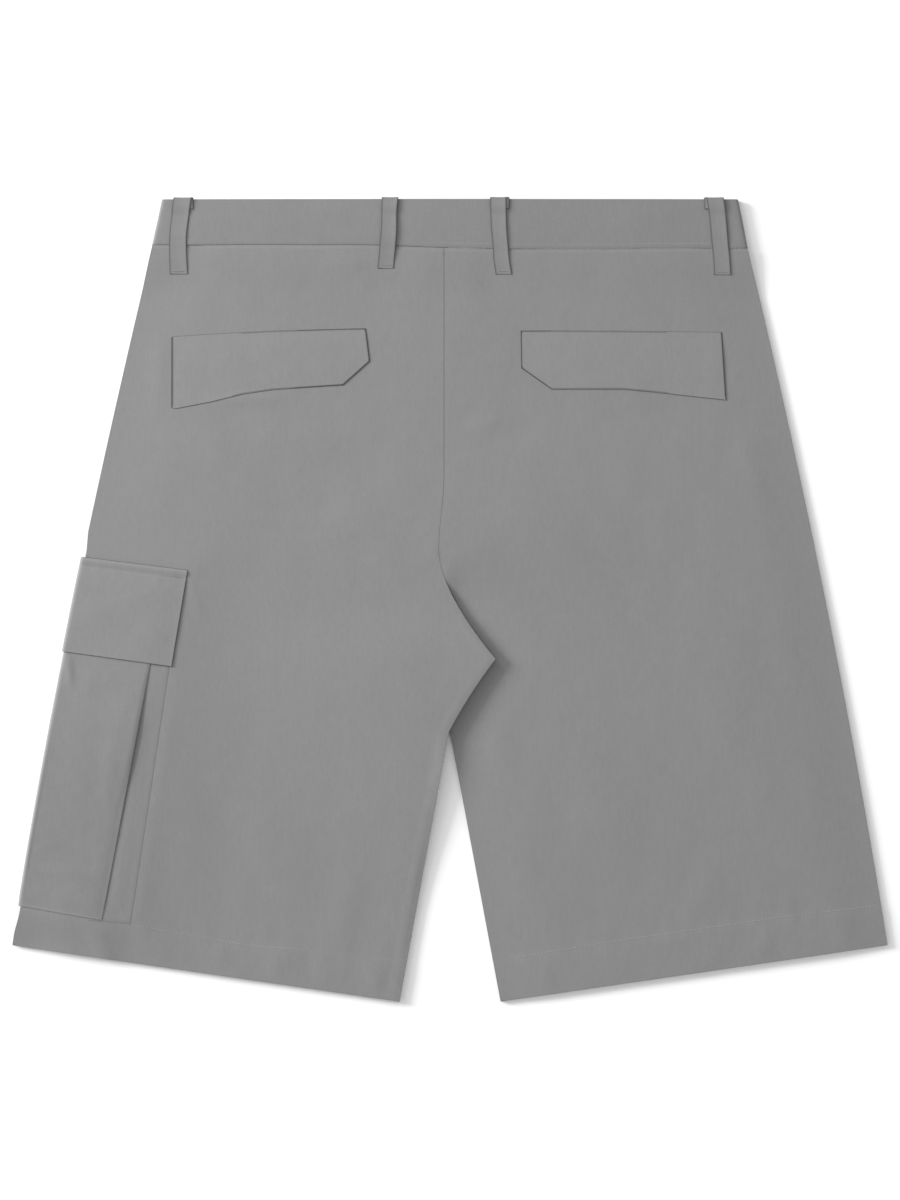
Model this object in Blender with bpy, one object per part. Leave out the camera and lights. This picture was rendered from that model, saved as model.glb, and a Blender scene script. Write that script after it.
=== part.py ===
"""Cargo shorts lying flat on their front, back uppermost.

Metres, +Z up. +Y points from the hems to the waistband and +X to the wearer's right. The origin is on
the surface the shorts lie on, under the middle of their outline. Each sewn piece is a closed wall of
cloth, built by wall() from two matching grids of points: its outer face and its inner face.
"""

import math
from collections import namedtuple

import bmesh
import bpy
from mathutils import Vector
from mathutils.geometry import interpolate_bezier

MM = 0.001

# Cloth
CLOTH = 1.0 * MM  # wall of one layer
FLAP_CLOTH = 1.3 * MM  # a flap is turned double and pressed
BAND_CLOTH = 2.3 * MM  # the waistband is two layers, and each lapped end is one of them
HEM_CLOTH = 1.6 * MM  # the hem is turned up inside the leg
GAP = 0.3 * MM  # between neighbouring pieces
LAYER = CLOTH + GAP

# Outline, measured flat from the centre line
WAIST_TOP_Y = 296.1 * MM
BAND_HEIGHT = 35.0 * MM
SEAM_Y = WAIST_TOP_Y - BAND_HEIGHT
HALF_WAIST_TOP = 212.6 * MM
HALF_WAIST_SEAM = 220.2 * MM
HEM_OUTER = Vector((324.1, -256.0)) * MM
HEM_INNER = Vector((37.4, -297.8)) * MM
HIP_BULGE = 5.3 * MM  # how far the outseam stands out from a straight line at mid-length

# Seat seam and fork: the left leg's fork lies over the right leg's
SEAT_SEAM_X = -4.4 * MM
SEAT_STRAIGHT_END = Vector((-4.4, 93.6)) * MM
SEAT_HOLLOW = Vector((-8.2, 37.7)) * MM
FORK_TIP = Vector((33.7, -43.9)) * MM
NOTCH_Y = -98.0 * MM
CROSSING_Y = -1.0 * MM  # from here down the right fork passes under the left one
FORK_LIFT = 3.2 * MM
FORK_RAMP = 45.0 * MM

# Cargo pocket, round the outseam of the left leg
FLAP_TOP_OUTER_Y = 31.7 * MM
FLAP_FOOT_OUTER_Y = -38.4 * MM
FLAP_TOP_INNER = Vector((-193.8, 21.8)) * MM
FLAP_FOOT_INNER = Vector((-205.7, -49.6)) * MM
POCKET_TOP_OUTER_Y = 19.7 * MM
POCKET_FOOT_OUTER_Y = -225.4 * MM
POCKET_TOP_INNER = Vector((-211.0, 7.0)) * MM
POCKET_FOOT_INNER = Vector((-256.3, -233.6)) * MM
GUSSET_WIDTH_TOP = 12.0 * MM  # that shows beside the pocket panel
GUSSET_WIDTH_FOOT = 21.0 * MM
GUSSET_UNDER = 10.0 * MM  # that lies under the pocket panel
POCKET_LIFT = 4.1 * MM  # the front half of the pocket lies under the leg
POCKET_MARGIN = 4.0 * MM  # the leg stays level this far past the pocket's edges, then falls away
POCKET_RAMP = 18.0 * MM
POCKET_TUCK = 1.9 * MM  # the leg's edge lies this far inside the pocket's fold

# Belt loops and button
LOOP_WIDTH = 12.0 * MM
LOOP_TOP_Y = 297.8 * MM
LOOP_ROOT = 9.0 * MM
FRONT_LOOP_X = 111.0 * MM
FRONT_LOOP_FOOT_Y = 241.0 * MM
FRONT_LOOP_LIFT = LAYER + 0.1 * MM
FRONT_LOOP_MARGIN = 4.0 * MM
FRONT_LOOP_RAMP = 10.0 * MM
BUTTON_RADIUS = 8.5 * MM
BUTTON_THICK = 2.0 * MM
BUTTON_Y = SEAM_Y + BAND_HEIGHT / 2
BUTTON_LIFT = BUTTON_THICK + GAP
BUTTON_RAMP = 14.0 * MM
BAND_LAP = 17.0 * MM  # each end passes the centre front by this much

EDGE_ROLL = 0.4 * MM  # the folded sides are rounded by this much
CLOTH_COLOUR = (0.27, 0.27, 0.27, 1.0)
BUTTON_COLOUR = (0.16, 0.16, 0.165, 1.0)

# Rows of the leg panels: where each row meets the outseam and the inner edge, in mm
Row = namedtuple("Row", "outer_y inner_y cloth")
LEG_ROWS = [
    Row(260.8, 260.8, BAND_CLOTH),
    Row(251.0, 251.0, CLOTH),
    Row(241.0, 240.0, CLOTH),
    Row(229.0, 228.0, CLOTH),
    Row(165.0, 160.0, CLOTH),
    Row(103.0, 93.6, CLOTH),
    Row(75.0, 60.0, CLOTH),
    Row(56.0, 37.7, CLOTH),
    Row(44.0, 20.0, CLOTH),
    Row(33.0, -1.0, CLOTH),
    Row(10.0, -24.0, CLOTH),
    Row(-12.0, -43.9, CLOTH),
    Row(-42.0, -70.0, CLOTH),
    Row(-76.0, -98.0, CLOTH),
    Row(-110.0, -134.0, CLOTH),
    Row(-168.0, -200.0, CLOTH),
    Row(-226.0, -267.8, CLOTH),
    Row(-229.0, -270.8, HEM_CLOTH),
    Row(-243.0, -284.8, HEM_CLOTH),
    Row(-256.0, -297.8, HEM_CLOTH),
]
# Columns of the leg panels, from the outseam (0) to the inner edge (1)
LEFT_COLUMNS = [0, 0.006, 0.15, 0.26, 0.29, 0.31, 0.33, 0.36, 0.4]
LEFT_COLUMNS += [0.47, 0.55, 0.62, 0.76, 0.84, 0.92, 0.994, 1]
RIGHT_COLUMNS = [0, 0.006, 0.39, 0.455, 0.53, 0.6, 0.8, 0.9, 0.994, 1]

# Back belt loops: middle of the top and of the foot, in mm
Loop = namedtuple("Loop", "top_x foot_x foot_y")
BACK_LOOPS = [
    Loop(-198.8, -201.1, 240.7),
    Loop(-44.0, -47.4, 244.7),
    Loop(35.7, 39.6, 240.2),
    Loop(195.6, 201.7, 240.1),
]

# Back flaps: sections across the flap from the outer end to the inner end, in mm
FlapSection = namedtuple("FlapSection", "top_x top_y foot_x foot_y")
BACK_FLAPS = {
    "back_flap_left": [
        FlapSection(-206.2, 194.4, -206.2, 141.8),
        FlapSection(-176.7, 196.4, -176.7, 146.3),
        FlapSection(-154.1, 197.7, -154.1, 151.9),
        FlapSection(-131.4, 198.8, -131.4, 155.3),
        FlapSection(-79.2, 200.3, -79.2, 158.7),
        FlapSection(-62.3, 200.6, -59.4, 176.3),
    ],
    "back_flap_right": [
        FlapSection(201.2, 197.9, 204.4, 147.6),
        FlapSection(175.2, 198.2, 175.2, 150.8),
        FlapSection(150.2, 198.5, 150.2, 153.6),
        FlapSection(127.7, 198.7, 127.7, 155.7),
        FlapSection(75.0, 199.0, 75.0, 155.6),
        FlapSection(52.3, 198.9, 52.8, 171.2),
    ],
}


def smooth(t):
    """Goes from 0 to 1 with level ends."""
    t = min(max(t, 0.0), 1.0)
    return t * t * (3 - 2 * t)


def distance_outside(point, corners):
    """How far a point lies outside a convex outline whose corners run anticlockwise; 0 inside it."""
    nearest = None
    inside = True
    for start, end in zip(corners, corners[1:] + corners[:1]):
        side = end - start
        along = min(max((point - start).dot(side) / side.length_squared, 0.0), 1.0)
        gap = (point - start - side * along).length
        nearest = gap if nearest is None else min(nearest, gap)
        inside = inside and side.x * (point - start).y - side.y * (point - start).x >= 0
    return 0.0 if inside else nearest


def fade(point, corners, ramp):
    """1 over an outline, falling smoothly to 0 at ramp outside it."""
    return 1 - smooth(distance_outside(point, corners) / ramp)


def box_corners(middle_x, half_x, low_y, high_y):
    left, right = middle_x - half_x, middle_x + half_x
    return [Vector((left, low_y)), Vector((right, low_y)), Vector((right, high_y)), Vector((left, high_y))]


def on_polyline(points, y):
    """X of a falling line of points at height y."""
    for high, low in zip(points, points[1:]):
        if high.y >= y >= low.y:
            share = (high.y - y) / (high.y - low.y)
            return high.x + (low.x - high.x) * share
    return points[0].x if y > points[0].y else points[-1].x


def seat_curve():
    """The seat seam: straight down, a slight hollow, then round to the tip of the fork."""
    down = Vector((0, -1))
    towards_tip = Vector((0.64, -0.77))
    hollow = interpolate_bezier(
        SEAT_STRAIGHT_END, SEAT_STRAIGHT_END + down * 25 * MM, SEAT_HOLLOW - down * 20 * MM, SEAT_HOLLOW, 9
    )
    fork = interpolate_bezier(
        SEAT_HOLLOW, SEAT_HOLLOW + down * 26 * MM, FORK_TIP - towards_tip * 30 * MM, FORK_TIP, 25
    )
    return [Vector((SEAT_SEAM_X, SEAM_Y))] + hollow + fork[1:]


SEAT_SEAM = seat_curve()
NOTCH = Vector((0, NOTCH_Y))
CROSSING = Vector((on_polyline(SEAT_SEAM, CROSSING_Y), CROSSING_Y))
HIDDEN_TIP = Vector((-FORK_TIP.x, FORK_TIP.y))
LEFT_INNER_EDGE = SEAT_SEAM + [NOTCH, Vector((-HEM_INNER.x, HEM_INNER.y))]
RIGHT_INNER_EDGE = (
    [p + Vector((GAP, 0)) for p in SEAT_SEAM if p.y > CROSSING_Y]
    + [CROSSING + Vector((GAP, 0)), HIDDEN_TIP, NOTCH, HEM_INNER]
)
OVERLAP = [HIDDEN_TIP, NOTCH, FORK_TIP, CROSSING]  # where four layers lie on each other


def outseam_x(y):
    """Half the width of the outline at height y, below the waistband."""
    down = (SEAM_Y - y) / (SEAM_Y - HEM_OUTER.y)
    straight = HALF_WAIST_SEAM + (HEM_OUTER.x - HALF_WAIST_SEAM) * down
    return straight + 4 * HIP_BULGE * down * (1 - down)


def beside_outseam(y):
    """A point clear of the left leg's outer edge."""
    return Vector((-outseam_x(y) - 2 * POCKET_MARGIN, y))


# Outlines of what is sewn to the front, over which the cloth is lifted
POCKET_AREA = [
    beside_outseam(FLAP_TOP_OUTER_Y + POCKET_MARGIN / 2),
    beside_outseam(POCKET_FOOT_OUTER_Y - POCKET_MARGIN),
    POCKET_FOOT_INNER + Vector((GUSSET_WIDTH_FOOT + POCKET_MARGIN, -POCKET_MARGIN)),
    FLAP_TOP_INNER + Vector((POCKET_MARGIN, POCKET_MARGIN / 2)),
]
BUTTON_REACH = BUTTON_RADIUS + GAP
BUTTON_AREA = box_corners(0, BUTTON_REACH, BUTTON_Y - BUTTON_REACH, BUTTON_Y + BUTTON_REACH)
FRONT_LOOP_HALF_LIFTED = LOOP_WIDTH / 2 + FRONT_LOOP_MARGIN
FRONT_LOOP_AREAS = [
    box_corners(x, FRONT_LOOP_HALF_LIFTED, FRONT_LOOP_FOOT_Y - FRONT_LOOP_MARGIN / 2, LOOP_TOP_Y)
    for x in (-FRONT_LOOP_X, FRONT_LOOP_X)
]


def front_lift(point):
    """How far what is sewn to the front holds the cloth off the surface."""
    lifts = [POCKET_LIFT * fade(point, POCKET_AREA, POCKET_RAMP)]
    lifts.append(BUTTON_LIFT * fade(point, BUTTON_AREA, BUTTON_RAMP))
    lifts += [FRONT_LOOP_LIFT * fade(point, area, FRONT_LOOP_RAMP) for area in FRONT_LOOP_AREAS]
    return max(lifts)


def fork_lift(point):
    """How far the left leg rises over the right leg's fork."""
    return FORK_LIFT * fade(point, OVERLAP, FORK_RAMP)


def material(name, colour, roughness):
    shade = bpy.data.materials.new(name)
    shade.use_nodes = True
    shader = shade.node_tree.nodes["Principled BSDF"]
    shader.inputs["Base Color"].default_value = colour
    shader.inputs["Roughness"].default_value = roughness
    shader.inputs["Metallic"].default_value = 0.0
    return shade


def add_object(name, bm, shade):
    bmesh.ops.recalc_face_normals(bm, faces=bm.faces)
    mesh = bpy.data.meshes.new(name)
    bm.to_mesh(mesh)
    bm.free()
    mesh.materials.append(shade)
    piece = bpy.data.objects.new(name, mesh)
    bpy.context.scene.collection.objects.link(piece)
    return piece


def wall(name, outer, inner, shade):
    """A closed wall between two grids of points that have the same rows and columns."""
    bm = bmesh.new()
    faces = [[[bm.verts.new(p) for p in row] for row in grid] for grid in (outer, inner)]

    def quad(a, b, c, d):
        bm.faces.new((a, b, c))
        bm.faces.new((a, c, d))

    last_row, last_column = len(outer) - 1, len(outer[0]) - 1
    for grid in faces:
        for i in range(last_row):
            for j in range(last_column):
                quad(grid[i][j], grid[i][j + 1], grid[i + 1][j + 1], grid[i + 1][j])
    top, under = faces
    for i in range(last_row):
        for j in (0, last_column):
            quad(top[i][j], top[i + 1][j], under[i + 1][j], under[i][j])
    for j in range(last_column):
        for i in (0, last_row):
            quad(top[i][j], top[i][j + 1], under[i][j + 1], under[i][j])
    return add_object(name, bm, shade)


def leg_grid(side, columns):
    """Rows of (point, cloth, share) over one leg, flat, from the outseam to the inner edge."""
    inner_edge = LEFT_INNER_EDGE if side < 0 else RIGHT_INNER_EDGE
    grid = []
    for row in LEG_ROWS:
        outer = Vector((side * outseam_x(row.outer_y * MM), row.outer_y * MM))
        if side < 0:
            outer.x += POCKET_TUCK * fade(outer, POCKET_AREA, POCKET_RAMP)
        inner = Vector((on_polyline(inner_edge, row.inner_y * MM), row.inner_y * MM))
        grid.append([(outer.lerp(inner, share), row.cloth, share) for share in columns])
    return grid


def leg_panels(side, label, columns, shade):
    """The front panel on the surface and the back panel over it, from the same points."""
    front_outer, front_inner, back_inner, back_outer = [], [], [], []
    for row in leg_grid(side, columns):
        levels = []
        for point, cloth, share in row:
            base = front_lift(point) + (fork_lift(point) if side < 0 else 0)
            roll = EDGE_ROLL if share in (0, 1) else 0
            stack = (base + roll, base + cloth, base + cloth + GAP, base + 2 * cloth + GAP - roll)
            levels.append([(point.x, point.y, z) for z in stack])
        for grid, face in zip((front_outer, front_inner, back_inner, back_outer), zip(*levels)):
            grid.append(face)
    wall(f"front_{label}", front_outer, front_inner, shade)
    wall(f"back_{label}", back_outer, back_inner, shade)


def fold_points(turns, radius):
    """Offsets round a fold of cloth from its lower layer (0) to its upper one (180 degrees)."""
    return [(radius * math.sin(turn), -radius * math.cos(turn)) for turn in turns]


def band_places(half):
    """Places across the waistband where its shape changes, from the left side fold to the right one."""
    loop_edge = FRONT_LOOP_HALF_LIFTED
    loop_ramp = FRONT_LOOP_HALF_LIFTED + FRONT_LOOP_RAMP
    right = [0.0, BUTTON_RADIUS, 13.0 * MM, BAND_LAP, BAND_LAP + GAP, 26.0 * MM]
    right += [FRONT_LOOP_X + d for d in (-loop_ramp, -loop_edge, loop_edge, loop_ramp)]
    right.append(half - BAND_CLOTH)
    return [-x for x in reversed(right[1:])] + right


def band_row(y):
    """Outer and inner faces of the waistband at height y.

    The strip starts at the outer lap, runs on the front to the left side, over the back to the right
    side and on the front again to the inner lap.
    """
    down = (WAIST_TOP_Y - y) / BAND_HEIGHT
    half = HALF_WAIST_TOP + (HALF_WAIST_SEAM - HALF_WAIST_TOP) * down
    places = band_places(half)
    middle = BAND_CLOTH + GAP / 2
    turns = [math.radians(a) for a in (30, 60, 90, 120, 150)]
    outer, inner = [], []

    def add(x, outer_z, inner_z):
        lift = front_lift(Vector((x, y)))
        outer.append((x, y, lift + outer_z))
        inner.append((x, y, lift + inner_z))

    def add_fold(side, turns):
        for points, radius in ((outer, middle), (inner, GAP / 2)):
            for out, up in fold_points(turns, radius):
                points.append((side * (places[-1] + out), y, middle + up))

    for x in reversed(places):
        if x <= BAND_LAP:
            add(x, 0, CLOTH if x >= -BAND_LAP else BAND_CLOTH)
    add_fold(-1, turns)
    for x in places:
        add(x, 2 * BAND_CLOTH + GAP, BAND_CLOTH + GAP)
    add_fold(1, turns[::-1])
    for x in reversed(places):
        if x >= -BAND_LAP:
            add(x, LAYER if x <= BAND_LAP else 0, BAND_CLOTH)
    return outer, inner


def waistband(shade):
    rows = [band_row(WAIST_TOP_Y - BAND_HEIGHT * quarter / 4) for quarter in range(5)]
    wall("waistband", [outer for outer, _ in rows], [inner for _, inner in rows], shade)


def back_loop(name, loop, shade):
    """Tape sewn at the top of the waistband, folded back over itself and sewn down below the seam."""
    rest = 2 * BAND_CLOTH + 2 * GAP  # the under face of tape lying on the waistband
    low = 2 * CLOTH + 2 * GAP  # and of tape lying on the back panel
    middle, radius = rest + CLOTH + GAP / 2, CLOTH + GAP / 2
    fold_y = LOOP_TOP_Y - radius
    root_y, foot_y = fold_y - LOOP_ROOT, loop.foot_y * MM
    turns = [math.radians(a) for a in (0, 45, 90, 135, 180)]
    outer = [(root_y, middle - radius)]
    outer += [(fold_y + out, middle + up) for out, up in fold_points(turns, radius)]
    inner = [(root_y, middle - GAP / 2)]
    inner += [(fold_y + out, middle + up) for out, up in fold_points(turns, GAP / 2)]
    main = [
        (root_y, middle + GAP / 2),
        (root_y - 6 * MM, rest),
        (SEAM_Y - 1 * MM, rest),
        (SEAM_Y - 13 * MM, low),
        (foot_y, low),
    ]
    inner += main
    outer += [(y, z + CLOTH) for y, z in main]

    def across(y, z):
        """The two edges of the tape, which leans a little from top to foot."""
        middle_x = loop.top_x + (loop.foot_x - loop.top_x) * (LOOP_TOP_Y - y) / (LOOP_TOP_Y - foot_y)
        return [(middle_x * MM + side * LOOP_WIDTH / 2, y, z) for side in (-1, 1)]

    wall(name, [across(*p) for p in outer], [across(*p) for p in inner], shade)


def front_loop(name, side, shade):
    """A plain tape on the surface, under the front of the waistband."""
    edges = [side * FRONT_LOOP_X - LOOP_WIDTH / 2, side * FRONT_LOOP_X + LOOP_WIDTH / 2]
    faces = [[[(x, y, z) for x in edges] for y in (WAIST_TOP_Y, FRONT_LOOP_FOOT_Y)] for z in (0, CLOTH)]
    wall(name, faces[0], faces[1], shade)


def back_flap(name, sections, shade):
    """A flap turned double, lying flat on its back panel."""
    low = 2 * CLOTH + 2 * GAP
    inner = [[(s.top_x * MM, s.top_y * MM, low), (s.foot_x * MM, s.foot_y * MM, low)] for s in sections]
    outer = [[(x, y, z + FLAP_CLOTH) for x, y, z in row] for row in inner]
    wall(name, outer, inner, shade)


def wrapped(name, rows, low, high, reach, shade):
    """A piece folded round the left outseam. rows holds the fold's y and the inner end of each row."""
    turns = [math.radians(a) for a in range(0, 181, 30)]
    middle, radius = (low + high) / 2, (high - low) / 2
    outer, inner = [], []
    for fold_y, end in rows:
        edge = Vector((-outseam_x(fold_y) - reach, fold_y))
        inward = (end - edge).normalized()
        start = edge + inward * radius
        for grid, r in ((outer, radius), (inner, radius - CLOTH)):
            round_fold = [(start - inward * out, middle + up) for out, up in fold_points(turns, r)]
            section = [(end, middle - r)] + round_fold + [(end, middle + r)]
            grid.append([(p.x, p.y, z) for p, z in section])
    wall(name, outer, inner, shade)


def straight_rows(outer_top, outer_foot, inner_top, inner_foot, count):
    """Evenly spaced rows between the top and the foot of a wrapped piece."""
    shares = [i / (count - 1) for i in range(count)]
    return [(outer_top + (outer_foot - outer_top) * s, inner_top.lerp(inner_foot, s)) for s in shares]


def cargo_pocket(shade):
    """Flap, panel and the two bellows strips, stacked outwards from the leg on both sides of it."""
    leg_high = POCKET_LIFT + 2 * CLOTH + GAP
    gusset_back = leg_high + GAP
    pocket_high = gusset_back + CLOTH + GAP + CLOTH
    pocket_low = LAYER
    gusset_front = pocket_low + LAYER
    pocket = straight_rows(POCKET_TOP_OUTER_Y, POCKET_FOOT_OUTER_Y, POCKET_TOP_INNER, POCKET_FOOT_INNER, 5)
    wrapped("cargo_pocket", pocket, pocket_low, pocket_high, 0, shade)
    flap = straight_rows(FLAP_TOP_OUTER_Y, FLAP_FOOT_OUTER_Y, FLAP_TOP_INNER, FLAP_FOOT_INNER, 3)
    wrapped("cargo_flap", flap, 0, pocket_high + LAYER, LAYER, shade)
    top, foot = POCKET_TOP_INNER, POCKET_FOOT_INNER
    strip = [
        [top - Vector((GUSSET_UNDER, 0)), top + Vector((GUSSET_WIDTH_TOP, 0))],
        [foot - Vector((GUSSET_UNDER, 0)), foot + Vector((GUSSET_WIDTH_FOOT, 0))],
    ]
    for name, low in (("cargo_gusset_back", gusset_back), ("cargo_gusset_front", gusset_front)):
        inner = [[(p.x, p.y, low) for p in row] for row in strip]
        outer = [[(p.x, p.y, low + CLOTH) for p in row] for row in strip]
        wall(name, outer, inner, shade)


def waist_button(shade):
    """A round button with a rounded edge, its face down on the surface."""
    bm = bmesh.new()
    segments = 24
    profile = [(0.86, 0.0), (1.0, 0.35), (1.0, 0.7), (0.8, 1.0)]  # radius and height, as shares
    rings = []
    for share, height in profile:
        ring = []
        for k in range(segments):
            angle = 2 * math.pi * k / segments
            x, y = BUTTON_RADIUS * share * math.cos(angle), BUTTON_RADIUS * share * math.sin(angle)
            ring.append(bm.verts.new((x, y + BUTTON_Y, height * BUTTON_THICK)))
        rings.append(ring)
    for low, high in zip(rings, rings[1:]):
        for k in range(segments):
            after = (k + 1) % segments
            bm.faces.new((low[k], low[after], high[after], high[k]))
    bm.faces.new(rings[0])
    bm.faces.new(rings[-1])
    add_object("waist_button", bm, shade)


def main():
    for old in list(bpy.data.objects):
        bpy.data.objects.remove(old, do_unlink=True)
    cloth = material("cloth", CLOTH_COLOUR, 0.85)
    button = material("button", BUTTON_COLOUR, 0.45)
    leg_panels(-1, "left", LEFT_COLUMNS, cloth)
    leg_panels(1, "right", RIGHT_COLUMNS, cloth)
    waistband(cloth)
    for number, loop in enumerate(BACK_LOOPS, 1):
        back_loop(f"belt_loop_{number}", loop, cloth)
    front_loop("front_loop_left", -1, cloth)
    front_loop("front_loop_right", 1, cloth)
    for name, sections in BACK_FLAPS.items():
        back_flap(name, sections, cloth)
    cargo_pocket(cloth)
    waist_button(button)


main()
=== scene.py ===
# %% [markdown]
# # Cargo shorts, laid flat on their front
# Knee-length shorts in mid-grey cotton twill, back uppermost: panels, waistband, belt loops, flaps and a
# bellows pocket that goes round one outseam. The CAD frame gives the place and size of every piece. This
# lesson gives each piece its cloth: thin rounded shells with creases, stitches and a woven finish.

# %% Load the frame
import math
from collections import namedtuple
from functools import partial

import bpy
import numpy as np
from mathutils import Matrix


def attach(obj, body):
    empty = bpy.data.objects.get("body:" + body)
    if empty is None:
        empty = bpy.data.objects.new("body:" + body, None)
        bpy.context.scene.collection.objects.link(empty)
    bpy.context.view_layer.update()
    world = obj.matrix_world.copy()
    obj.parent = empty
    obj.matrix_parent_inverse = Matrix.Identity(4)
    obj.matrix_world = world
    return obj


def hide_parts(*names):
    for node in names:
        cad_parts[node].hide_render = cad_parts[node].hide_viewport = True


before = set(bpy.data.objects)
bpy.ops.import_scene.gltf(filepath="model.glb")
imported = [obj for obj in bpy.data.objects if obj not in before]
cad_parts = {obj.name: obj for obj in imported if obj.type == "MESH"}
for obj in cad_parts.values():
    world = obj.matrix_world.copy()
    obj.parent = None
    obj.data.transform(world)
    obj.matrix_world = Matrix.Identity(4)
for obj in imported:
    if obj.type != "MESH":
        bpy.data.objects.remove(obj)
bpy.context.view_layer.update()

MM = 0.001
print("pieces in the frame:", len(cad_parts))


# %% [markdown]
# ## The cut
# A maker draws the pattern before touching the cloth. These are its sizes in millimetres, flat, measured
# from the centre line and up from the middle of the outline. +X is the wearer's right, because the back is
# up. Everything below is worked out from them, so a change here carries through the whole garment.

# %% Sizes of the pattern, in millimetres
CLOTH = 1.0  # one layer of twill with its turnings
BAND_CLOTH = 2.3
GAP = 0.3
WAIST_TOP_Y = 296.1
SEAM_Y = 261.1  # waistband seam
HALF_WAIST_TOP, HALF_WAIST_SEAM = 213.0, 220.2
HEM_OUTER, HEM_INNER = (324.1, -256.0), (37.4, -297.8)
HIP_BULGE = 5.3
SEAT_TOP, SEAT_STRAIGHT_END, SEAT_HOLLOW = (-4.4, SEAM_Y), (-4.4, 93.6), (-8.2, 37.7)
FORK_TIP, NOTCH, CROSSING = (33.7, -43.9), (0.0, -98.0), (4.1, -1.0)
HIDDEN_TIP = (-FORK_TIP[0], FORK_TIP[1])
print("outseam about", round(math.dist((HALF_WAIST_TOP, WAIST_TOP_Y), HEM_OUTER)), "mm")

# %% [markdown]
# ## Curves
# Pattern lines are straight edges and a few long curves. NumPy works on whole arrays of points at once, so
# each curve is a short formula, and the same formulas serve the panels, the pockets and the stitching.

# %% Curve helpers
def smooth(t):
    """0 to 1 with level ends."""
    t = np.clip(t, 0.0, 1.0)
    return t * t * (3 - 2 * t)


def bell(t):
    """1 at 0, falling away smoothly on both sides."""
    return np.exp(-(t**2))


def between(a, b, share):
    """A share of the way from a to b."""
    return a + (b - a) * share


def bezier(a, b, c, d, count):
    t = np.linspace(0, 1, count)[:, None]
    a, b, c, d = (np.array(p, float) for p in (a, b, c, d))
    return (1 - t) ** 3 * a + 3 * t * (1 - t) ** 2 * b + 3 * t * t * (1 - t) * c + t**3 * d


def outseam_x(y):
    """Half the width of the shorts at height y, below the waistband."""
    down = (SEAM_Y - y) / (SEAM_Y - HEM_OUTER[1])
    return between(HALF_WAIST_SEAM, HEM_OUTER[0], down) + 4 * HIP_BULGE * down * (1 - down)


def hem_y(x):
    """Height of the edge of the hem, which slants."""
    return between(HEM_INNER[1], HEM_OUTER[1], (np.abs(x) - HEM_INNER[0]) / (HEM_OUTER[0] - HEM_INNER[0]))


def seat_curve():
    """Straight down from the waistband, a slight hollow, then round to the tip of the fork."""
    (sx, sy), (hx, hy), (tx, ty) = SEAT_STRAIGHT_END, SEAT_HOLLOW, FORK_TIP
    hollow = bezier((sx, sy), (sx, sy - 25), (hx, hy + 20), (hx, hy), 12)
    fork = bezier((hx, hy), (hx, hy - 26), (tx - 19.2, ty + 23.1), (tx, ty), 28)
    return np.vstack([[SEAT_TOP], hollow, fork[1:]])


def lower_fork(count):
    """From the tip of the left fork down to the notch, a little hollow."""
    share = np.linspace(0, 1, count)[:, None]
    return between(np.array(FORK_TIP), np.array(NOTCH) - (0.9, 0), share) - (6.4, 0) * share * (1 - share)


def x_on(line, y):
    """X of a falling line of points at the heights y."""
    return np.interp(-np.asarray(y, float), -line[:, 1], line[:, 0])


SEAT_SEAM = seat_curve()
LEFT_INNER = np.vstack([SEAT_SEAM, lower_fork(8)[1:], [(-HEM_INNER[0], HEM_INNER[1])]])
RIGHT_INNER = np.vstack([SEAT_SEAM[SEAT_SEAM[:, 1] > CROSSING[1]], [CROSSING, HIDDEN_TIP, NOTCH, HEM_INNER]])
RIGHT_INNER[: -3, 0] += 0.05
print("seat seam points:", len(SEAT_SEAM))


# %% [markdown]
# ## How the cloth lies
# Laid out flat, twill is never quite level. It rises over whatever lies under it, stands a little proud in
# the middle of each leg, and keeps soft creases. Each of these is a height over (x, y), in millimetres, and
# the heights add up. Blender's cloth simulation could drape it too, but a pressed garment has few creases
# and each has its place, so they are listed one by one: where each starts and ends, how it bows, how wide
# and how high.

# %% What lies under the cloth
def from_outline(x, y, corners):
    """Distance to the nearest side, and whether a point is inside if the corners run anticlockwise."""
    nearest, inside = np.full(np.shape(x), 1e9), np.full(np.shape(x), True)
    for (ax, ay), (bx, by) in zip(corners, np.roll(corners, -1, axis=0)):
        dx, dy = bx - ax, by - ay
        along = np.clip(((x - ax) * dx + (y - ay) * dy) / (dx * dx + dy * dy), 0, 1)
        nearest = np.minimum(nearest, np.hypot(x - ax - along * dx, y - ay - along * dy))
        inside &= dx * (y - ay) - dy * (x - ax) >= 0
    return nearest, inside


def outside(x, y, corners):
    """Distance outside a convex outline, 0 within it."""
    nearest, inside = from_outline(x, y, corners)
    return np.where(inside, 0.0, nearest)


def near(x, y, corners, ramp):
    """1 over an outline, falling smoothly to 0 at ramp outside it."""
    return 1 - smooth(outside(x, y, corners) / ramp)


# Cargo pocket and flap: heights at the outseam fold, and the ends of their edges on the leg
FLAP_OUTER_Y, FLAP_INNER = (31.7, -38.4), ((-193.8, 21.8), (-205.7, -49.6))
POCKET_OUTER_Y, POCKET_INNER = (19.7, -226.4), ((-211.0, 7.0), (-257.2, -237.2))
GUSSET_WIDTH = (12.0, 21.0)  # that shows at the top and at the foot
POCKET_LIFT, POCKET_RAMP = 3.4, (80.0, 170.0)  # the ramp beside its foot and beside its mouth
FORK_LIFT, FORK_RAMP = 6.9, 140.0
FRONT_LOOP_X, FRONT_LOOP_LIFT = 111.0, 1.2
BUTTON_Y, BUTTON_LIFT = 278.6, 2.2
OVERLAP = [HIDDEN_TIP, NOTCH, FORK_TIP, CROSSING]
POCKET_AREA = [
    (-outseam_x(34) - 8, 33.7), (-outseam_x(-229) - 8, -229.4), (-231.3, -237.6), (-189.8, 23.8),
]


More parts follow.
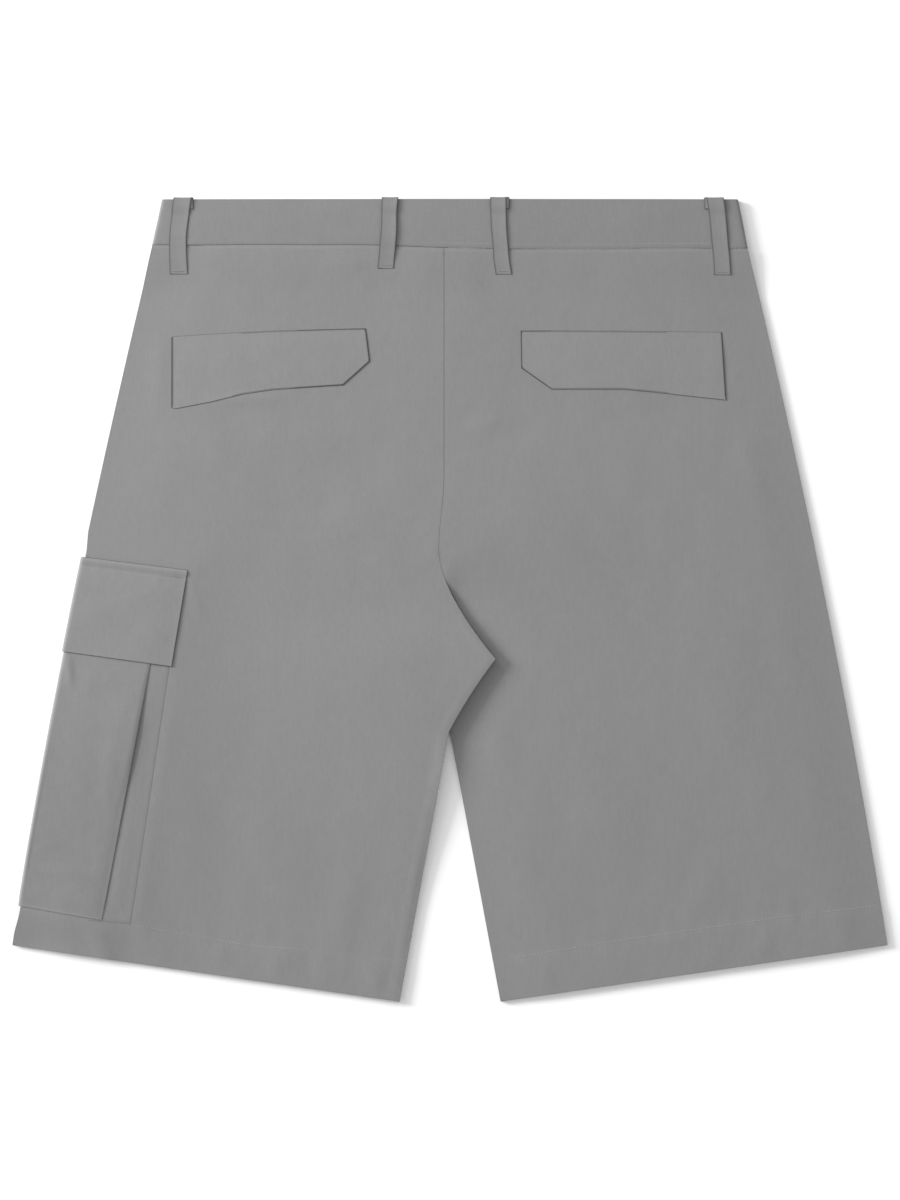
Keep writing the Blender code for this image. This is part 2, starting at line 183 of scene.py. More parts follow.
def box_area(x, y, half_x, half_y):
    return [(x + a * half_x, y + b * half_y) for a, b in ((-1, -1), (1, -1), (1, 1), (-1, 1))]


def front_lift(x, y):
    """How far what is sewn to the front holds the cloth off the floor."""
    ramp = between(*POCKET_RAMP, smooth((y + 190) / 200))
    up = np.clip((y - hem_y(x)) / 24, 0, 1)
    pocket = POCKET_LIFT * np.clip(1 - outside(x, y, POCKET_AREA) / ramp, 0, 1) ** 2
    swell = 1.4 * smooth((-x - 215) / 110) * smooth((-y - 30) / 80) * near(x, y, POCKET_AREA, 30)
    lifts = [(pocket + swell) * between(0.3, 1.0, up * (2 - up))]
    lifts.append(BUTTON_LIFT * near(x, y, box_area(0, BUTTON_Y, 8.8, 8.8), 150))
    for side in (-1, 1):
        lifts.append(FRONT_LOOP_LIFT * near(x, y, box_area(side * FRONT_LOOP_X, 268.4, 10, 29.4), 110))
    return np.cbrt(sum(lift**3 for lift in lifts))


def along_fork(y):
    """Share of the fork's lift: least at the crossing, most towards the tips."""
    return 0.47 + 0.33 * smooth((4 - y) / 50) + 0.1 * bell((y + 72) / 32)


def fork_lift(x, y):
    """How far the left leg rises over the fork of the right one: least where the two cross."""
    return FORK_LIFT * near(x, y, OVERLAP, FORK_RAMP) * along_fork(y)


def seam_follow(x, y):
    """The right back panel is sewn to the left one, so it rises with it just above the crossing."""
    from_seam = np.maximum(x - x_on(SEAT_SEAM, y), 0)
    rise = smooth((y - CROSSING[1] + 0.8 * from_seam) / (18 + 1.8 * from_seam))
    return fork_lift(x - from_seam, y) * rise * (1 - smooth(from_seam / 200))


# %% [markdown]
# ## Creases
# A crease is a ridge or a trough along a slightly bowed line, deepest in its middle and gone at both ends.
# The tables have one row for each. Long shallow ones run from the pocket and the fork across the legs,
# short ones gather where a seam or a hem pulls the cloth in. The front has its own, because it was folded
# differently.

# %% Creases, in millimetres
# Each row: from x and y, to x and y, how far it bows, half its width, its height
BACK_CREASES = [
    (-190, 147, -106, 150, 0, 4, 0.65),  # below the left flap
    (-217, 206, -216, 132, 0, 7, 0.9),  # beside it
    (-150, 132, -60, 118, -8, 14, 0.33),
    (-232, 150, -150, 78, 10, 16, 0.28),
    (-60, 120, -16, 60, 6, 14, 0.25),  # towards the crotch
    (-110, 60, -20, 12, 8, 18, 0.28),
    (8, 126, 40, 138, -4, 5, 0.28),  # short, beside the seat seam
    (14, 116, 70, 130, -5, 9, -0.25),
    (40, 60, 150, 20, -10, 30, 0.28),
    (208, 140, 232, 60, 3, 9, 0.3),  # down the right hip
    (224, 168, 196, 90, 5, 12, -0.28),
    (170, -20, 300, -205, -14, 22, 0.3),  # long diagonal on the right leg
    (120, -60, 96, -230, 10, 26, 0.2),
    (215, -60, 190, -262, -8, 30, -0.12),
    (60, -120, 84, -262, -4, 16, 0.16),
    (-14, -100, -36, -330, 0, 24, 0.55),  # along the left inseam
    (-104, -104, -70, -236, 8, 17, 0.1),
    (-150, -88, -126, -222, -7, 19, 0.2),
    (-205, -100, -196, -236, 5, 15, 0.75),  # beside the bellows
    (-300, -196, -296, -262, 0, 26, 0.8),
    (-120, -40, -40, -84, 6, 18, 0.14),
    (-16, -37, 18, -53, 2, 6, -0.5),  # soft hollow on the fork
    (-14, 42, -9, 27, 0, 3, 0.5),  # pucker where the seat seam turns
    (-98, 250, -56, 243, 3, 5, 0.35),  # below the waist seam, beside a loop
    (-72, 238, -58, 226, 0, 4, 0.22),
    (-196, 0, -150, -34, 6, 12, 0.22),
    (-196, 18, -184, -20, 2, 4, 0.6),  # pucker beside the cargo flap
    (-250, 92, -205, 60, 5, 12, 0.19),
]
HEM_PUCKERS = [
    (-284, -205, -290, -309, 0, 30, 2.4),  # the corner stays up on the thick outseam
    (-268, -230, -252, -284, 2, 9, 1.7),
    (-238, -236, -232, -268, -2, 6, -0.4),
    (-214, -246, -222, -276, 2, 6, 0.25),
    (-170, -252, -176, -280, 2, 6, 0.23),
    (-130, -254, -122, -286, -3, 6, 0.4),
    (-112, -256, -102, -288, 2, 5, -0.3),
    (-66, -262, -52, -294, 3, 6, 0.38),
    (64, -262, 70, -292, 2, 7, 0.2),
    (128, -256, 122, -284, 2, 8, 0.2),
    (196, -246, 204, -274, -2, 7, 0.23),
    (238, -238, 226, -268, 2, 6, 0.35),
    (286, -230, 292, -260, 2, 6, 0.2),
]
FRONT_CREASES = [
    (-160, 200, -60, 150, 10, 16, 0.36),
    (60, 196, 170, 150, -12, 18, 0.41),
    (30, 90, 120, 30, -10, 16, 0.41),
    (-30, 96, -130, 40, 10, 16, 0.36),
    (60, -60, 130, -220, 14, 22, 0.45),
    (190, 40, 240, -150, -10, 26, 0.45),
    (-90, -60, -130, -230, -12, 20, 0.41),
    (200, -180, 160, -262, 5, 12, 0.32),
    (-60, -190, -84, -270, -4, 11, 0.32),
]


def creases(x, y, rows):
    """Sum of soft ridges and troughs."""
    total = np.zeros(np.shape(x))
    for x0, y0, x1, y1, bow, half_width, height in rows:
        length = math.hypot(x1 - x0, y1 - y0)
        ux, uy = (x1 - x0) / length, (y1 - y0) / length
        along = ((x - x0) * ux + (y - y0) * uy) / length
        across = (y - y0) * ux - (x - x0) * uy - bow * 4 * along * (1 - along)
        end = smooth(1.25 * (1 - np.abs(2 * along - 1)))
        total += height * end * bell(across / half_width)
    return total


def ripple(x, y, seed, wave, waves=7):
    """Small unevenness that runs every way, between about -1 and 1."""
    rng = np.random.default_rng(seed)
    total = np.zeros(np.shape(x))
    for _ in range(waves):
        turn, stretch, phase = rng.uniform(0, 2 * np.pi), rng.uniform(0.7, 1.6), rng.uniform(0, 2 * np.pi)
        total += np.sin((x * math.cos(turn) + y * math.sin(turn)) * 2 * np.pi / (wave * stretch) + phase)
    return total / math.sqrt(2 * waves)


BAND_CREASES = [
    (-108, 290, -62, 281, 2, 5, 0.3),
    (-96, 272, -58, 268, -2, 4, 0.2),
    (-150, 270, -112, 278, 2, 6, 0.15),
    (60, 270, 100, 276, -2, 5, 0.16),
    (120, 284, 170, 280, 2, 6, 0.14),
]
print("creases on the back, at the hems, in front:", *map(len, (BACK_CREASES, HEM_PUCKERS, FRONT_CREASES)))


# %% [markdown]
# ## Cloth as a thin closed shell
# A sheet of cloth with a Solidify modifier has sharp square rims. Real cut pieces are turned under and
# pressed, so their edges are round. Here each piece is a grid of points with an upper and an under face
# that close on each other in a rounded rim, and the rows crowd together near the edges, where the roundness
# needs them.

# %% The shell maker
cloth_pieces = {}


def spread(length, count, rim):
    """Distances from 0 to length, crowded within a rounded rim at each end."""
    close = np.array([0.0, 0.12, 0.42, 1.0, 1.9]) * rim
    middle = np.linspace(close[-1], length - close[-1], count)[1:-1]
    return np.concatenate([close, middle, length - close[::-1]])


def roundness(from_edge, rim):
    """0 at the edge, rising as a quarter circle to 1 at rim inside it."""
    return np.sqrt(1 - (1 - np.clip(from_edge / rim, 0, 1)) ** 2)


def together(*parts):
    """Points or directions from their x, y and z."""
    return np.stack(np.broadcast_arrays(*parts), axis=-1)


def add_mesh(name, points, faces, material=None):
    mesh = bpy.data.meshes.new(name)
    mesh.from_pydata([tuple(p) for p in np.asarray(points, float) * MM], [], faces)
    mesh.update()
    mesh.shade_smooth()
    piece = bpy.data.objects.new(name, mesh)
    bpy.context.scene.collection.objects.link(piece)
    if material:
        mesh.materials.append(material)
    return piece


def cut_corners(faces, corners):
    """Cuts each corner face in two from its corner inwards, so that the two skins don't share the cut."""
    cut = []
    for face in faces.tolist():
        at = [k for k, point in enumerate(face) if point in corners]
        if at:
            a, b, c, d = face[at[0]:] + face[:at[0]]
            cut += [[a, b, c], [a, c, d]]
        else:
            cut.append(face)
    return cut


def close_shell(name, outer, inner, from_edge, material=None):
    """A closed mesh from two grids that share their rim. It keeps how far each point is from the edge."""
    rows, cols = outer.shape[:2]
    rim = np.zeros((rows, cols), bool)
    rim[[0, -1], :] = rim[:, [0, -1]] = True
    index = np.arange(rows * cols).reshape(rows, cols)
    low = index.copy()
    low[~rim] = rows * cols + np.arange(np.count_nonzero(~rim))
    points = np.vstack([outer.reshape(-1, 3), inner[~rim]])
    faces = []
    for grid, turn in ((index, 1), (low, -1)):
        quads = np.stack([grid[:-1, :-1], grid[1:, :-1], grid[1:, 1:], grid[:-1, 1:]], axis=-1)
        faces.append(quads.reshape(-1, 4)[:, ::turn])
    faces = np.vstack(faces)
    if volume(points, faces) < 0:
        faces = faces[:, ::-1]
    faces = cut_corners(faces, {0, cols - 1, (rows - 1) * cols, rows * cols - 1})
    piece = add_mesh(name + "_cloth", points, faces, material or twill)
    near_edge = piece.data.attributes.new("from_edge", "FLOAT", "POINT")
    near_edge.data.foreach_set("value", np.concatenate([from_edge.ravel(), from_edge[~rim]]))
    cloth_pieces[name] = piece
    print(f"{name}: {len(faces)} faces")
    return piece


def volume(points, faces):
    """Six times the volume inside four-sided faces, negative if they face inwards."""
    a, b, c, d = (points[faces[:, k]] for k in range(4))
    return float(np.sum(a * np.cross(b, c)) + np.sum(a * np.cross(c, d)))


def laid_shell(name, x, y, under, thick, from_edge, level=0.5, rim=0.5, material=None, shade_from=None):
    """A shell over a flat grid. level says where in the thickness the rim closes: 0 under, 1 top."""
    full = roundness(from_edge, rim)
    edge = under + thick * level
    outer, inner = (together(x, y, between(edge, z, full)) for z in (under + thick, under))
    return close_shell(name, outer, inner, from_edge if shade_from is None else shade_from, material)


def folded_shell(name, centre, normal, thick, from_edge, rim=0.5, material=None, shade_from=None):
    """A shell either side of a surface that folds over, such as tape or a wrapped pocket."""
    from_edge = np.broadcast_to(from_edge, centre.shape[:2])
    half = (np.broadcast_to(thick, centre.shape[:2]) / 2 * roundness(from_edge, rim))[..., None]
    shade_from = np.broadcast_to(from_edge if shade_from is None else shade_from, centre.shape[:2])
    return close_shell(name, centre + normal * half, centre - normal * half, shade_from, material)


# %% [markdown]
# ## The finish: cotton twill
# Twill is woven with fine slanting ribs, dyed in the piece, and a little uneven in shade. Its turned edges
# get a painted shade, for the light lost in the narrow gap beside them. Three effects are shader node groups,
# so that cloth, tape and thread can each use them at their own strength. A group only works out a number over
# the surface; the shader that uses it stays in the material.

# %% Node helpers
class Field:
    """A number that changes over the surface. Each sum written with it makes a Math node."""

    def __init__(self, socket):
        self.socket = socket

    def __add__(self, other):
        return maths("ADD", self, other)

    def __sub__(self, other):
        return maths("SUBTRACT", self, other)

    def __mul__(self, other):
        return maths("MULTIPLY", self, other)

    def __truediv__(self, other):
        return maths("DIVIDE", self, other)


def plug(socket, value):
    """Link a field or a socket in, or set a plain value."""
    value = getattr(value, "socket", value)
    if isinstance(value, bpy.types.NodeSocket):
        socket.id_data.links.new(value, socket)
    else:
        socket.default_value = value


def maths(operation, *values):
    tree = next(v for v in values if isinstance(v, Field)).socket.id_data
    made = tree.nodes.new("ShaderNodeMath")
    made.operation = operation
    for socket, value in zip(made.inputs, values):
        plug(socket, value)
    return Field(made.outputs[0])


def node(tree, kind, output=0, **sockets):
    """One output of a new node, whose inputs are given by name, with _ for a space."""
    made = tree.nodes.new("ShaderNode" + kind)
    for name, value in sockets.items():
        plug(made.inputs[name.replace("_", " ")], value)
    return Field(made.outputs[output])


def new_group(name, output, **inputs):
    """A node group: its tree, its inputs as fields and the socket of its one output."""
    tree = bpy.data.node_groups.new(name, "ShaderNodeTree")
    for socket, value in inputs.items():
        made = tree.interface.new_socket(name=socket, in_out="INPUT", socket_type="NodeSocketFloat")
        made.default_value = value
    tree.interface.new_socket(name=output, in_out="OUTPUT", socket_type="NodeSocketFloat")
    given = tree.nodes.new("NodeGroupInput").outputs
    return tree, [Field(given[socket]) for socket in inputs], tree.nodes.new("NodeGroupOutput").inputs[output]


# %% Twill weave: slanting ribs, each broken into small floats of yarn
def twill_weave_group():
    tree, given, height = new_group("Twill weave", "Height", Rib=0.75, Slant=1.05, Unevenness=0.35)
    rib_width, slant, unevenness = given
    place = node(tree, "TexCoord", "Object")
    wander = node(tree, "TexNoise", Vector=place, Scale=260.0, Detail=1.0)
    x, y = (node(tree, "SeparateXYZ", axis, Vector=place) for axis in "XY")
    along = x * maths("COSINE", slant) + y * maths("SINE", slant)
    shift = (wander - 0.5) * (unevenness * 12.0)
    rib = maths("SINE", along * (2000 * math.pi) / rib_width + shift)
    floats = maths("SINE", y * (4000 * math.pi) / rib_width)
    plug(height, rib * 0.36 + floats * 0.14 + 0.5)
    return tree


# %% Dye shade: broad clouds and fine slubs, around 1
def dye_shade_group():
    tree, amounts, shade = new_group("Dye shade", "Shade", Clouds=0.03, Slubs=0.02, Specks=0.02)
    place = node(tree, "TexCoord", "Object")
    stretched = node(tree, "Mapping", Vector=place, Scale=(1.0, 0.28, 1.0))
    clouds = node(tree, "TexNoise", Vector=place, Scale=9.0, Detail=3.0)
    slubs = node(tree, "TexNoise", Vector=stretched, Scale=420.0, Detail=2.0)
    specks = node(tree, "TexNoise", Vector=place, Scale=900.0, Detail=1.0)
    swings = [(noise - 0.5) * 4.0 * amount for noise, amount in zip((clouds, slubs, specks), amounts)]
    plug(shade, swings[0] + swings[1] + swings[2] + 1.0)
    return tree


# %% Edge shade: less light gets into the narrow gap beside a turned edge
def edge_shade_group():
    tree, (width, depth), shade = new_group("Edge shade", "Shade", Width=0.8, Depth=0.2)
    from_edge = node(tree, "Attribute", "Fac")
    from_edge.socket.node.attribute_name = "from_edge"
    far = from_edge / width
    fall = maths("EXPONENT", far * far * -1.0)
    plug(shade, maths("SUBTRACT", 1.0, fall * depth))
    return tree


# %% Materials
def use_group(tree, group, **values):
    made = tree.nodes.new("ShaderNodeGroup")
    made.node_tree = group
    for name, value in values.items():
        made.inputs[name].default_value = value
    return Field(made.outputs[0])


def tinted(tree, colour, factor):
    """The colour times the factor."""
    made = node(tree, "VectorMath", Vector=colour)
    made.socket.node.operation = "SCALE"
    plug(made.socket.node.inputs["Scale"], factor)
    return made


def new_material(name, roughness, sheen=0.0, specular=0.5):
    material = bpy.data.materials.new(name)
    material.use_nodes = True
    shader = material.node_tree.nodes["Principled BSDF"]
    shader.inputs["Roughness"].default_value = roughness
    shader.inputs["Specular IOR Level"].default_value = specular
    shader.inputs["Sheen Weight"].default_value = sheen
    shader.inputs["Sheen Roughness"].default_value = 0.5
    return material, material.node_tree, shader.inputs


def cloth_material(name, lightness, edge_depth, edge_width=2.0, rib=0.75, slant=1.05, bump=0.5):
    """Grey cloth or thread. Its edges are shaded by edge_depth over edge_width millimetres."""
    material, tree, shader = new_material(name, 0.88, sheen=0.12, specular=0.25)
    height = use_group(tree, TWILL_WEAVE, Rib=rib, Slant=slant)
    shade = use_group(tree, DYE_SHADE, Clouds=0.008, Slubs=0.03, Specks=0.035)
    edge = use_group(tree, EDGE_SHADE, Width=edge_width, Depth=edge_depth)
    yarn = height * 0.07 + 0.965
    plug(shader["Base Color"], tinted(tree, (lightness * GREY,) * 3, shade * yarn * edge))
    plug(shader["Normal"], node(tree, "Bump", Height=height, Strength=bump, Distance=0.00012))
    plug(shader["Roughness"], maths("SUBTRACT", 0.94, height * 0.12))
    return material


TWILL_WEAVE, DYE_SHADE, EDGE_SHADE = twill_weave_group(), dye_shade_group(), edge_shade_group()
GREY = 0.211
# The band, flaps and loops are copies of one grey twill at other lightness: the band darker and the loops a
# little darker as painted shade, the flaps lighter as painted light, for how each lies to the lamp.
twill = cloth_material("grey_twill", 1.0, 0.12)
band_twill_shaded = cloth_material("grey_twill_band", 0.95, 0.12, slant=0.5)
turned_twill_lit = cloth_material("grey_twill_turned", 1.03, 0.9, edge_width=0.75)
tape_twill = cloth_material("grey_twill_tape", 0.985, 0.7, edge_width=0.75)
print("materials:", [m.name for m in bpy.data.materials])


# %% [markdown]
# ## The four leg panels
# Each leg is a front panel on the floor with a back panel over it. On the real garment the two are sewn
# along the outseam and the inseam, pressed flat. Rows run across the leg and are level at the waist and
# aslant at the hem, so that the rim of the shell follows the hem exactly. The hem is turned up inside, so
# it is thicker.

# %% Grid of a leg
TOP_Y = SEAM_Y - 0.22  # a hair's breadth below the waistband
LEG_KEYS = [  # height at the outseam, height at the inner edge, and the rows down to there
    (TOP_Y, TOP_Y, 0),
    (103.0, SEAT_STRAIGHT_END[1], 50),
    (56.0, SEAT_HOLLOW[1], 16),
    (33.0, CROSSING[1], 13),
    (-12.0, FORK_TIP[1], 15),
    (-76.0, NOTCH[1], 18),
    (-226.0, -267.8, 52),
    (-229.0, -270.8, 2),
    (HEM_OUTER[1], HEM_INNER[1], 9),
]
SEAM_RIM, HEM_RIM = 0.1, 0.3


def seam_wave(x):
    """The waist seam isn't quite straight: it steps down at the middle, and sags a little beyond it."""
    step = -1.35 * np.tanh((x + 25) / 30) + 0.35 * smooth((x - 115) / 40)
    return step - 0.5 * bell((x - 95) / 38) + 0.1 * np.sin(x / 13)


def least(*fields):
    """The smallest of them at each point."""
    return np.min(np.broadcast_arrays(*fields), axis=0)


def leg_rows():
    """Height of each row at the outseam and at the inner edge."""
    rows = []
    for above, below in zip(LEG_KEYS, LEG_KEYS[1:]):
        share = np.arange(below[2]) / below[2]
        rows += zip(*(between(above[k], below[k], share) for k in (0, 1)))
    close = np.array([0.0, 0.12, 0.42, 1.0])
    top_rows = [(TOP_Y - down, TOP_Y - down) for down in close * SEAM_RIM]
    foot_rows = [(HEM_OUTER[1] + up, HEM_INNER[1] + up) for up in close[::-1] * HEM_RIM]
    return np.array(top_rows + rows[1:] + foot_rows)


def leg_grid(side, columns):
    outer_y, inner_y = leg_rows().T[:, :, None]
    outer_x, inner_x = side * outseam_x(outer_y), x_on(LEFT_INNER if side < 0 else RIGHT_INNER, inner_y)
    if side < 0:
        outer_x = outer_x + 1.9 * near(outer_x, outer_y, POCKET_AREA, 20)
    length = np.hypot(inner_x - outer_x, inner_y - outer_y)
    share = np.array([spread(one, columns, SEAM_RIM) / one for one in length.ravel()])
    x, y = between(outer_x, inner_x, share), between(outer_y, inner_y, share)
    return x, y, least(share, 1 - share) * length, TOP_Y - outer_y, outer_y - outer_y[-1]


# %% [markdown]
# ## Height of the cloth over the whole back
# One function gives the upper face of the back panels anywhere. The pockets, flaps, loops and stitches all
# ask it how high the cloth is, so that everything sits on it. Cloth is pressed down beneath whatever is
# sewn to it.

# %% Height of the two layers
FLAP_AREAS = [
    [(-207, 141), (-150, 152), (-60, 160), (-60, 200), (-207, 196)],
    [(53, 158), (130, 155), (205, 146), (202, 198), (52, 199)],
]
LOOP_FEET = [(-201, 250), (-47, 253), (39, 250), (201, 250)]
HEM_DEPTHS = [(-318, 30.1), (-230, 28.2), (-150, 25.4), (-110, 28.4), (-42, 30.0)]
HEM_DEPTHS += [(42, 31.0), (125, 32.6), (256, 32.3), (304, 30.6)]
LOFT = 1.0


def pressed(x, y):
    """1 under what is sewn on or folded over, 0 away from it."""
    press = near(x, y, POCKET_AREA, 80)
    press = np.maximum(press, near(x, y, OVERLAP, np.where(x > x_on(LEFT_INNER, y), 34, 110)))
    for area in FLAP_AREAS:
        press = np.maximum(press, 0.3 * near(x, y, area, 40))
    for lx, ly in LOOP_FEET:
        press = np.maximum(press, 0.3 * near(x, y, box_area(lx, ly, 6, 12), 24))
    return press


def from_edges(x, y, side):
    """Distance in from where the front and the back are sewn together: the outseam and the inseam."""
    inner = side * (x - x_on(LEFT_INNER if side < 0 else RIGHT_INNER, y))
    above_fork = 60 * smooth((y - CROSSING[1]) / 60)
    if side < 0:
        inner = inner * (1 + 7 * smooth((8 - y) / 40))  # the left inseam stands up sooner
    return np.clip(np.minimum(outseam_x(y) - side * x, inner + above_fork), 0, None)


def hem_stitch_y(x):
    """Height of the row of stitches in the hem, whose depth a hand never keeps quite even."""
    return hem_y(x) + np.interp(x, *zip(*HEM_DEPTHS))


def hem_pucker(x, y, seed):
    """Sewing pulls the hem in, so it ripples a little along its stitches."""
    return 0.12 * ripple(x, 0.35 * y, seed, 15, 5) * bell((y - hem_stitch_y(x)) / 13)


def turnings(x, y):
    """What the seam at the waist and the hem add to the thickness of one panel."""
    at_side = 1 - smooth((outseam_x(y) - np.abs(x)) / 42)
    seam = (0.8 + 0.5 * at_side) * (1 - smooth((SEAM_Y - y) / 40))
    hem = 0.16 * smooth((hem_stitch_y(x) + 5 - y) / 12)
    from_inseam = x_on(LEFT_INNER, y) - x
    inseam = (0.18 * smooth((4 - y) / 20) + 0.38 * smooth((-y - 92) / 40)) * (1 - smooth(from_inseam / 9))
    return seam + hem + inseam * (from_inseam >= 0)


def front_under(x, y, side):
    """Under face of a front panel: on the floor, but for its creases and what lies beneath."""
    free = smooth(from_edges(x, y, side) / 30) * smooth((y - hem_y(x)) / 25)
    lift = front_lift(x, y) + (fork_lift(x, y) if side < 0 else 0)
    return lift + free * np.clip(creases(x, y, FRONT_CREASES), 0, None)


def back_under(x, y, side):
    """Under face of a back panel, over the front one."""
    inset = from_edges(x, y, side)
    free, press = smooth(inset / (42 if side > 0 else 56)), pressed(x, y)
    wrinkle = creases(x, y, BACK_CREASES + HEM_PUCKERS)
    wrinkle = wrinkle + 0.08 * ripple(x, y, 3, 40) + 0.03 * ripple(x, y, 5, 15) + hem_pucker(x, y, 7)
    wrinkle = wrinkle * smooth((SEAM_Y - y) / 12)
    level = front_under(x, y, side) + CLOTH + turnings(x, y) + GAP
    if side > 0:
        level = level + seam_follow(x, y)
    else:  # the edge of the fork rolls down
        level = level - 0.35 * bell(inset / 12) * smooth((10 - y) / 20) * smooth((y + 125) / 30) * (x > -60)
    return level + np.clip(free * (LOFT * (1 - 0.85 * press) + wrinkle * (1 - 0.6 * press)), 0, None)


def back_top(x, y):
    """Upper face of the back, on whichever leg lies uppermost at (x, y)."""
    x, y = np.asarray(x, float), np.asarray(y, float)
    on_left = x < x_on(LEFT_INNER, y)
    return np.where(on_left, back_under(x, y, -1), back_under(x, y, 1)) + CLOTH + turnings(x, y)


print("cloth at mid-seat:", round(float(back_top(-60, 120)), 2), "mm up")

# %% Make the panels
def leg_panels(side, label):
    x, y, from_sides, from_top, from_foot = leg_grid(side, 100)
    y = y + seam_wave(x) * smooth((y - 225) / 30)
    near_edge = least(from_sides, from_top, from_foot)
    shade_from = least(from_sides * 5, from_top, from_foot * 4)
    in_from_skin = 0.12 + 0.38 * (1 - smooth(from_foot / 2))
    thick = CLOTH + turnings(x, y)
    for layer, under, level in (("front", front_under, 1 - in_from_skin), ("back", back_under, in_from_skin)):
        name, low = f"{layer}_{label}", under(x, y, side)
        laid_shell(name, x, y, low, thick, near_edge, level, SEAM_RIM, twill, shade_from)


leg_panels(-1, "left")
leg_panels(1, "right")


# %% [markdown]
# ## Waistband
# One strip of doubled cloth goes right round, folded flat at the two side seams, and its ends lap at the
# centre front. It is one grid: rows from the top edge to the waist seam, columns along the strip. Each
# lapped end is one layer, so that the ends lie on each other within the thickness of the band.

# %% The path of the waistband
BAND_LAP = 17.0
BAND_EASE = 0.4  # the folded band is a touch wider than what it is sewn to
BAND_FOLD = (BAND_CLOTH + GAP) / 2  # radius of the side folds, to the middle of the cloth


def band_under(x, y):
    """Under face of the back half of the waistband."""
    down = (WAIST_TOP_Y - y) / (WAIST_TOP_Y - SEAM_Y)
    puff = 0.2 * np.sin(np.clip(down, 0, 1) * np.pi) * smooth((HALF_WAIST_TOP - np.abs(x)) / 30)
    seam_pull = 0.12 * ripple(x, 0.3 * y, 21, 12, 5) * bell((y - SEAM_Y) / 9)
    puff = puff * (1 + 0.5 * ripple(x, y, 22, 60, 4)) + np.clip(creases(x, y, BAND_CREASES), 0, None)
    return front_lift(x, y) + BAND_CLOTH + GAP + puff + np.clip(seam_pull, 0, 1)


def band_top(x, y):
    return band_under(x, y) + BAND_CLOTH


def front_half(side, x, y):
    """X, height, turn and thickness along half of the front. The right half ends on top of the left one."""
    lap = 1 - smooth((side * x - BAND_LAP) / 1.5)
    thick = between(BAND_CLOTH, CLOTH, lap)
    over = lap * (CLOTH + GAP) if side > 0 else 0
    return [x, front_lift(x, y) + over + thick / 2, 0 * x, thick]


def side_fold(side, fold_x, y):
    """The same round the fold at a side seam."""
    turn = np.linspace(0, np.pi, 9)[1:-1][::-side]
    z = front_lift(side * fold_x, y) + BAND_CLOTH / 2 + BAND_FOLD * (1 - np.cos(turn))
    return [side * (fold_x + BAND_FOLD * np.sin(turn)), z, side * turn, 0 * turn + BAND_CLOTH]


def back_half(fold_x, y):
    x = np.linspace(-fold_x, fold_x, 150)
    return [x, band_under(x, y) + BAND_CLOTH / 2, 0 * x + np.pi, 0 * x + BAND_CLOTH]


def run_along(a, b):
    """Distance along a path of points, from its start."""
    return np.insert(np.hypot(np.diff(a), np.diff(b)).cumsum(axis=-1), 0, 0, axis=-1)


def waistband():
    from_top = spread(WAIST_TOP_Y - SEAM_Y + 0.14, 14, 0.1)[:, None]
    rows = []
    for down in from_top[:, 0]:
        y = WAIST_TOP_Y - down
        half = BAND_EASE + between(HALF_WAIST_TOP, HALF_WAIST_SEAM, down / (WAIST_TOP_Y - SEAM_Y))
        fold_x = half - BAND_CLOTH - GAP / 2
        front = np.append(spread(fold_x - BAND_LAP, 34, 1.0)[::-1] + BAND_LAP, np.linspace(15, -BAND_LAP, 9))
        left = [front_half(-1, -front[::-1], y), side_fold(-1, fold_x, y)]
        right = [side_fold(1, fold_x, y), front_half(1, front, y)]
        rows.append(np.hstack([*left, back_half(fold_x, y), *right]))
    x, z, turn, thick = np.stack(rows, axis=1)
    y = WAIST_TOP_Y - from_top + seam_wave(x) * smooth((from_top - 12) / 20)
    run = run_along(x, z)
    from_ends = np.minimum(run, run[:, -1:] - run)
    from_edge = least(from_ends, from_top, from_top[::-1])
    shade_from = least(from_ends * 6, from_top * 12, from_top[::-1] * 1.4)
    normal = together(np.sin(turn), 0, -np.cos(turn))
    folded_shell("waistband", together(x, y, z), normal, thick, from_edge, 0.1, band_twill_shaded, shade_from)


waistband()

# %% [markdown]
# ## Belt loops
# A belt loop is tape, folded lengthways and sewn. It is caught behind the top of the waistband, comes over
# the fold and hangs down past the seam, where its foot is turned under and sewn flat. The loops lie a
# little askew, and each folded root peeps out beside its loop. The grid follows the tape, over its fold and
# down.

# %% Back loops
Loop = namedtuple("Loop", "top_x foot_x foot_y width root_shift spring bend")
BACK_LOOPS = [
    Loop(-197.4, -200.7, 240.7, 13.6, 1.3, 0.1, -2.0),
    Loop(-44.2, -47.5, 244.7, 12.2, 0.0, 1.1, 0.3),
    Loop(35.6, 39.6, 240.4, 12.2, 2.4, 0.4, -1.0),
    Loop(196.0, 201.6, 240.1, 13.0, -1.7, 0.15, 0.6),
]
LOOP_TOP_Y, LOOP_ROOT = 297.4, 8.0
TAPE, TAPE_GAP = 0.5, 0.25


def cloth_top(x, y):
    """Upper face of the waistband or the panel, eased across the seam."""
    panel, band = back_top(x, np.minimum(y, SEAM_Y - 0.5)), band_top(x, np.maximum(y, SEAM_Y))
    return between(panel, band, smooth((y - SEAM_Y + 4) / 8))


def path_normals(a, b):
    """Unit normals along an open path, to its left."""
    da, db = np.gradient(a), np.gradient(b)
    size = np.hypot(da, db)
    return -db / size, da / size


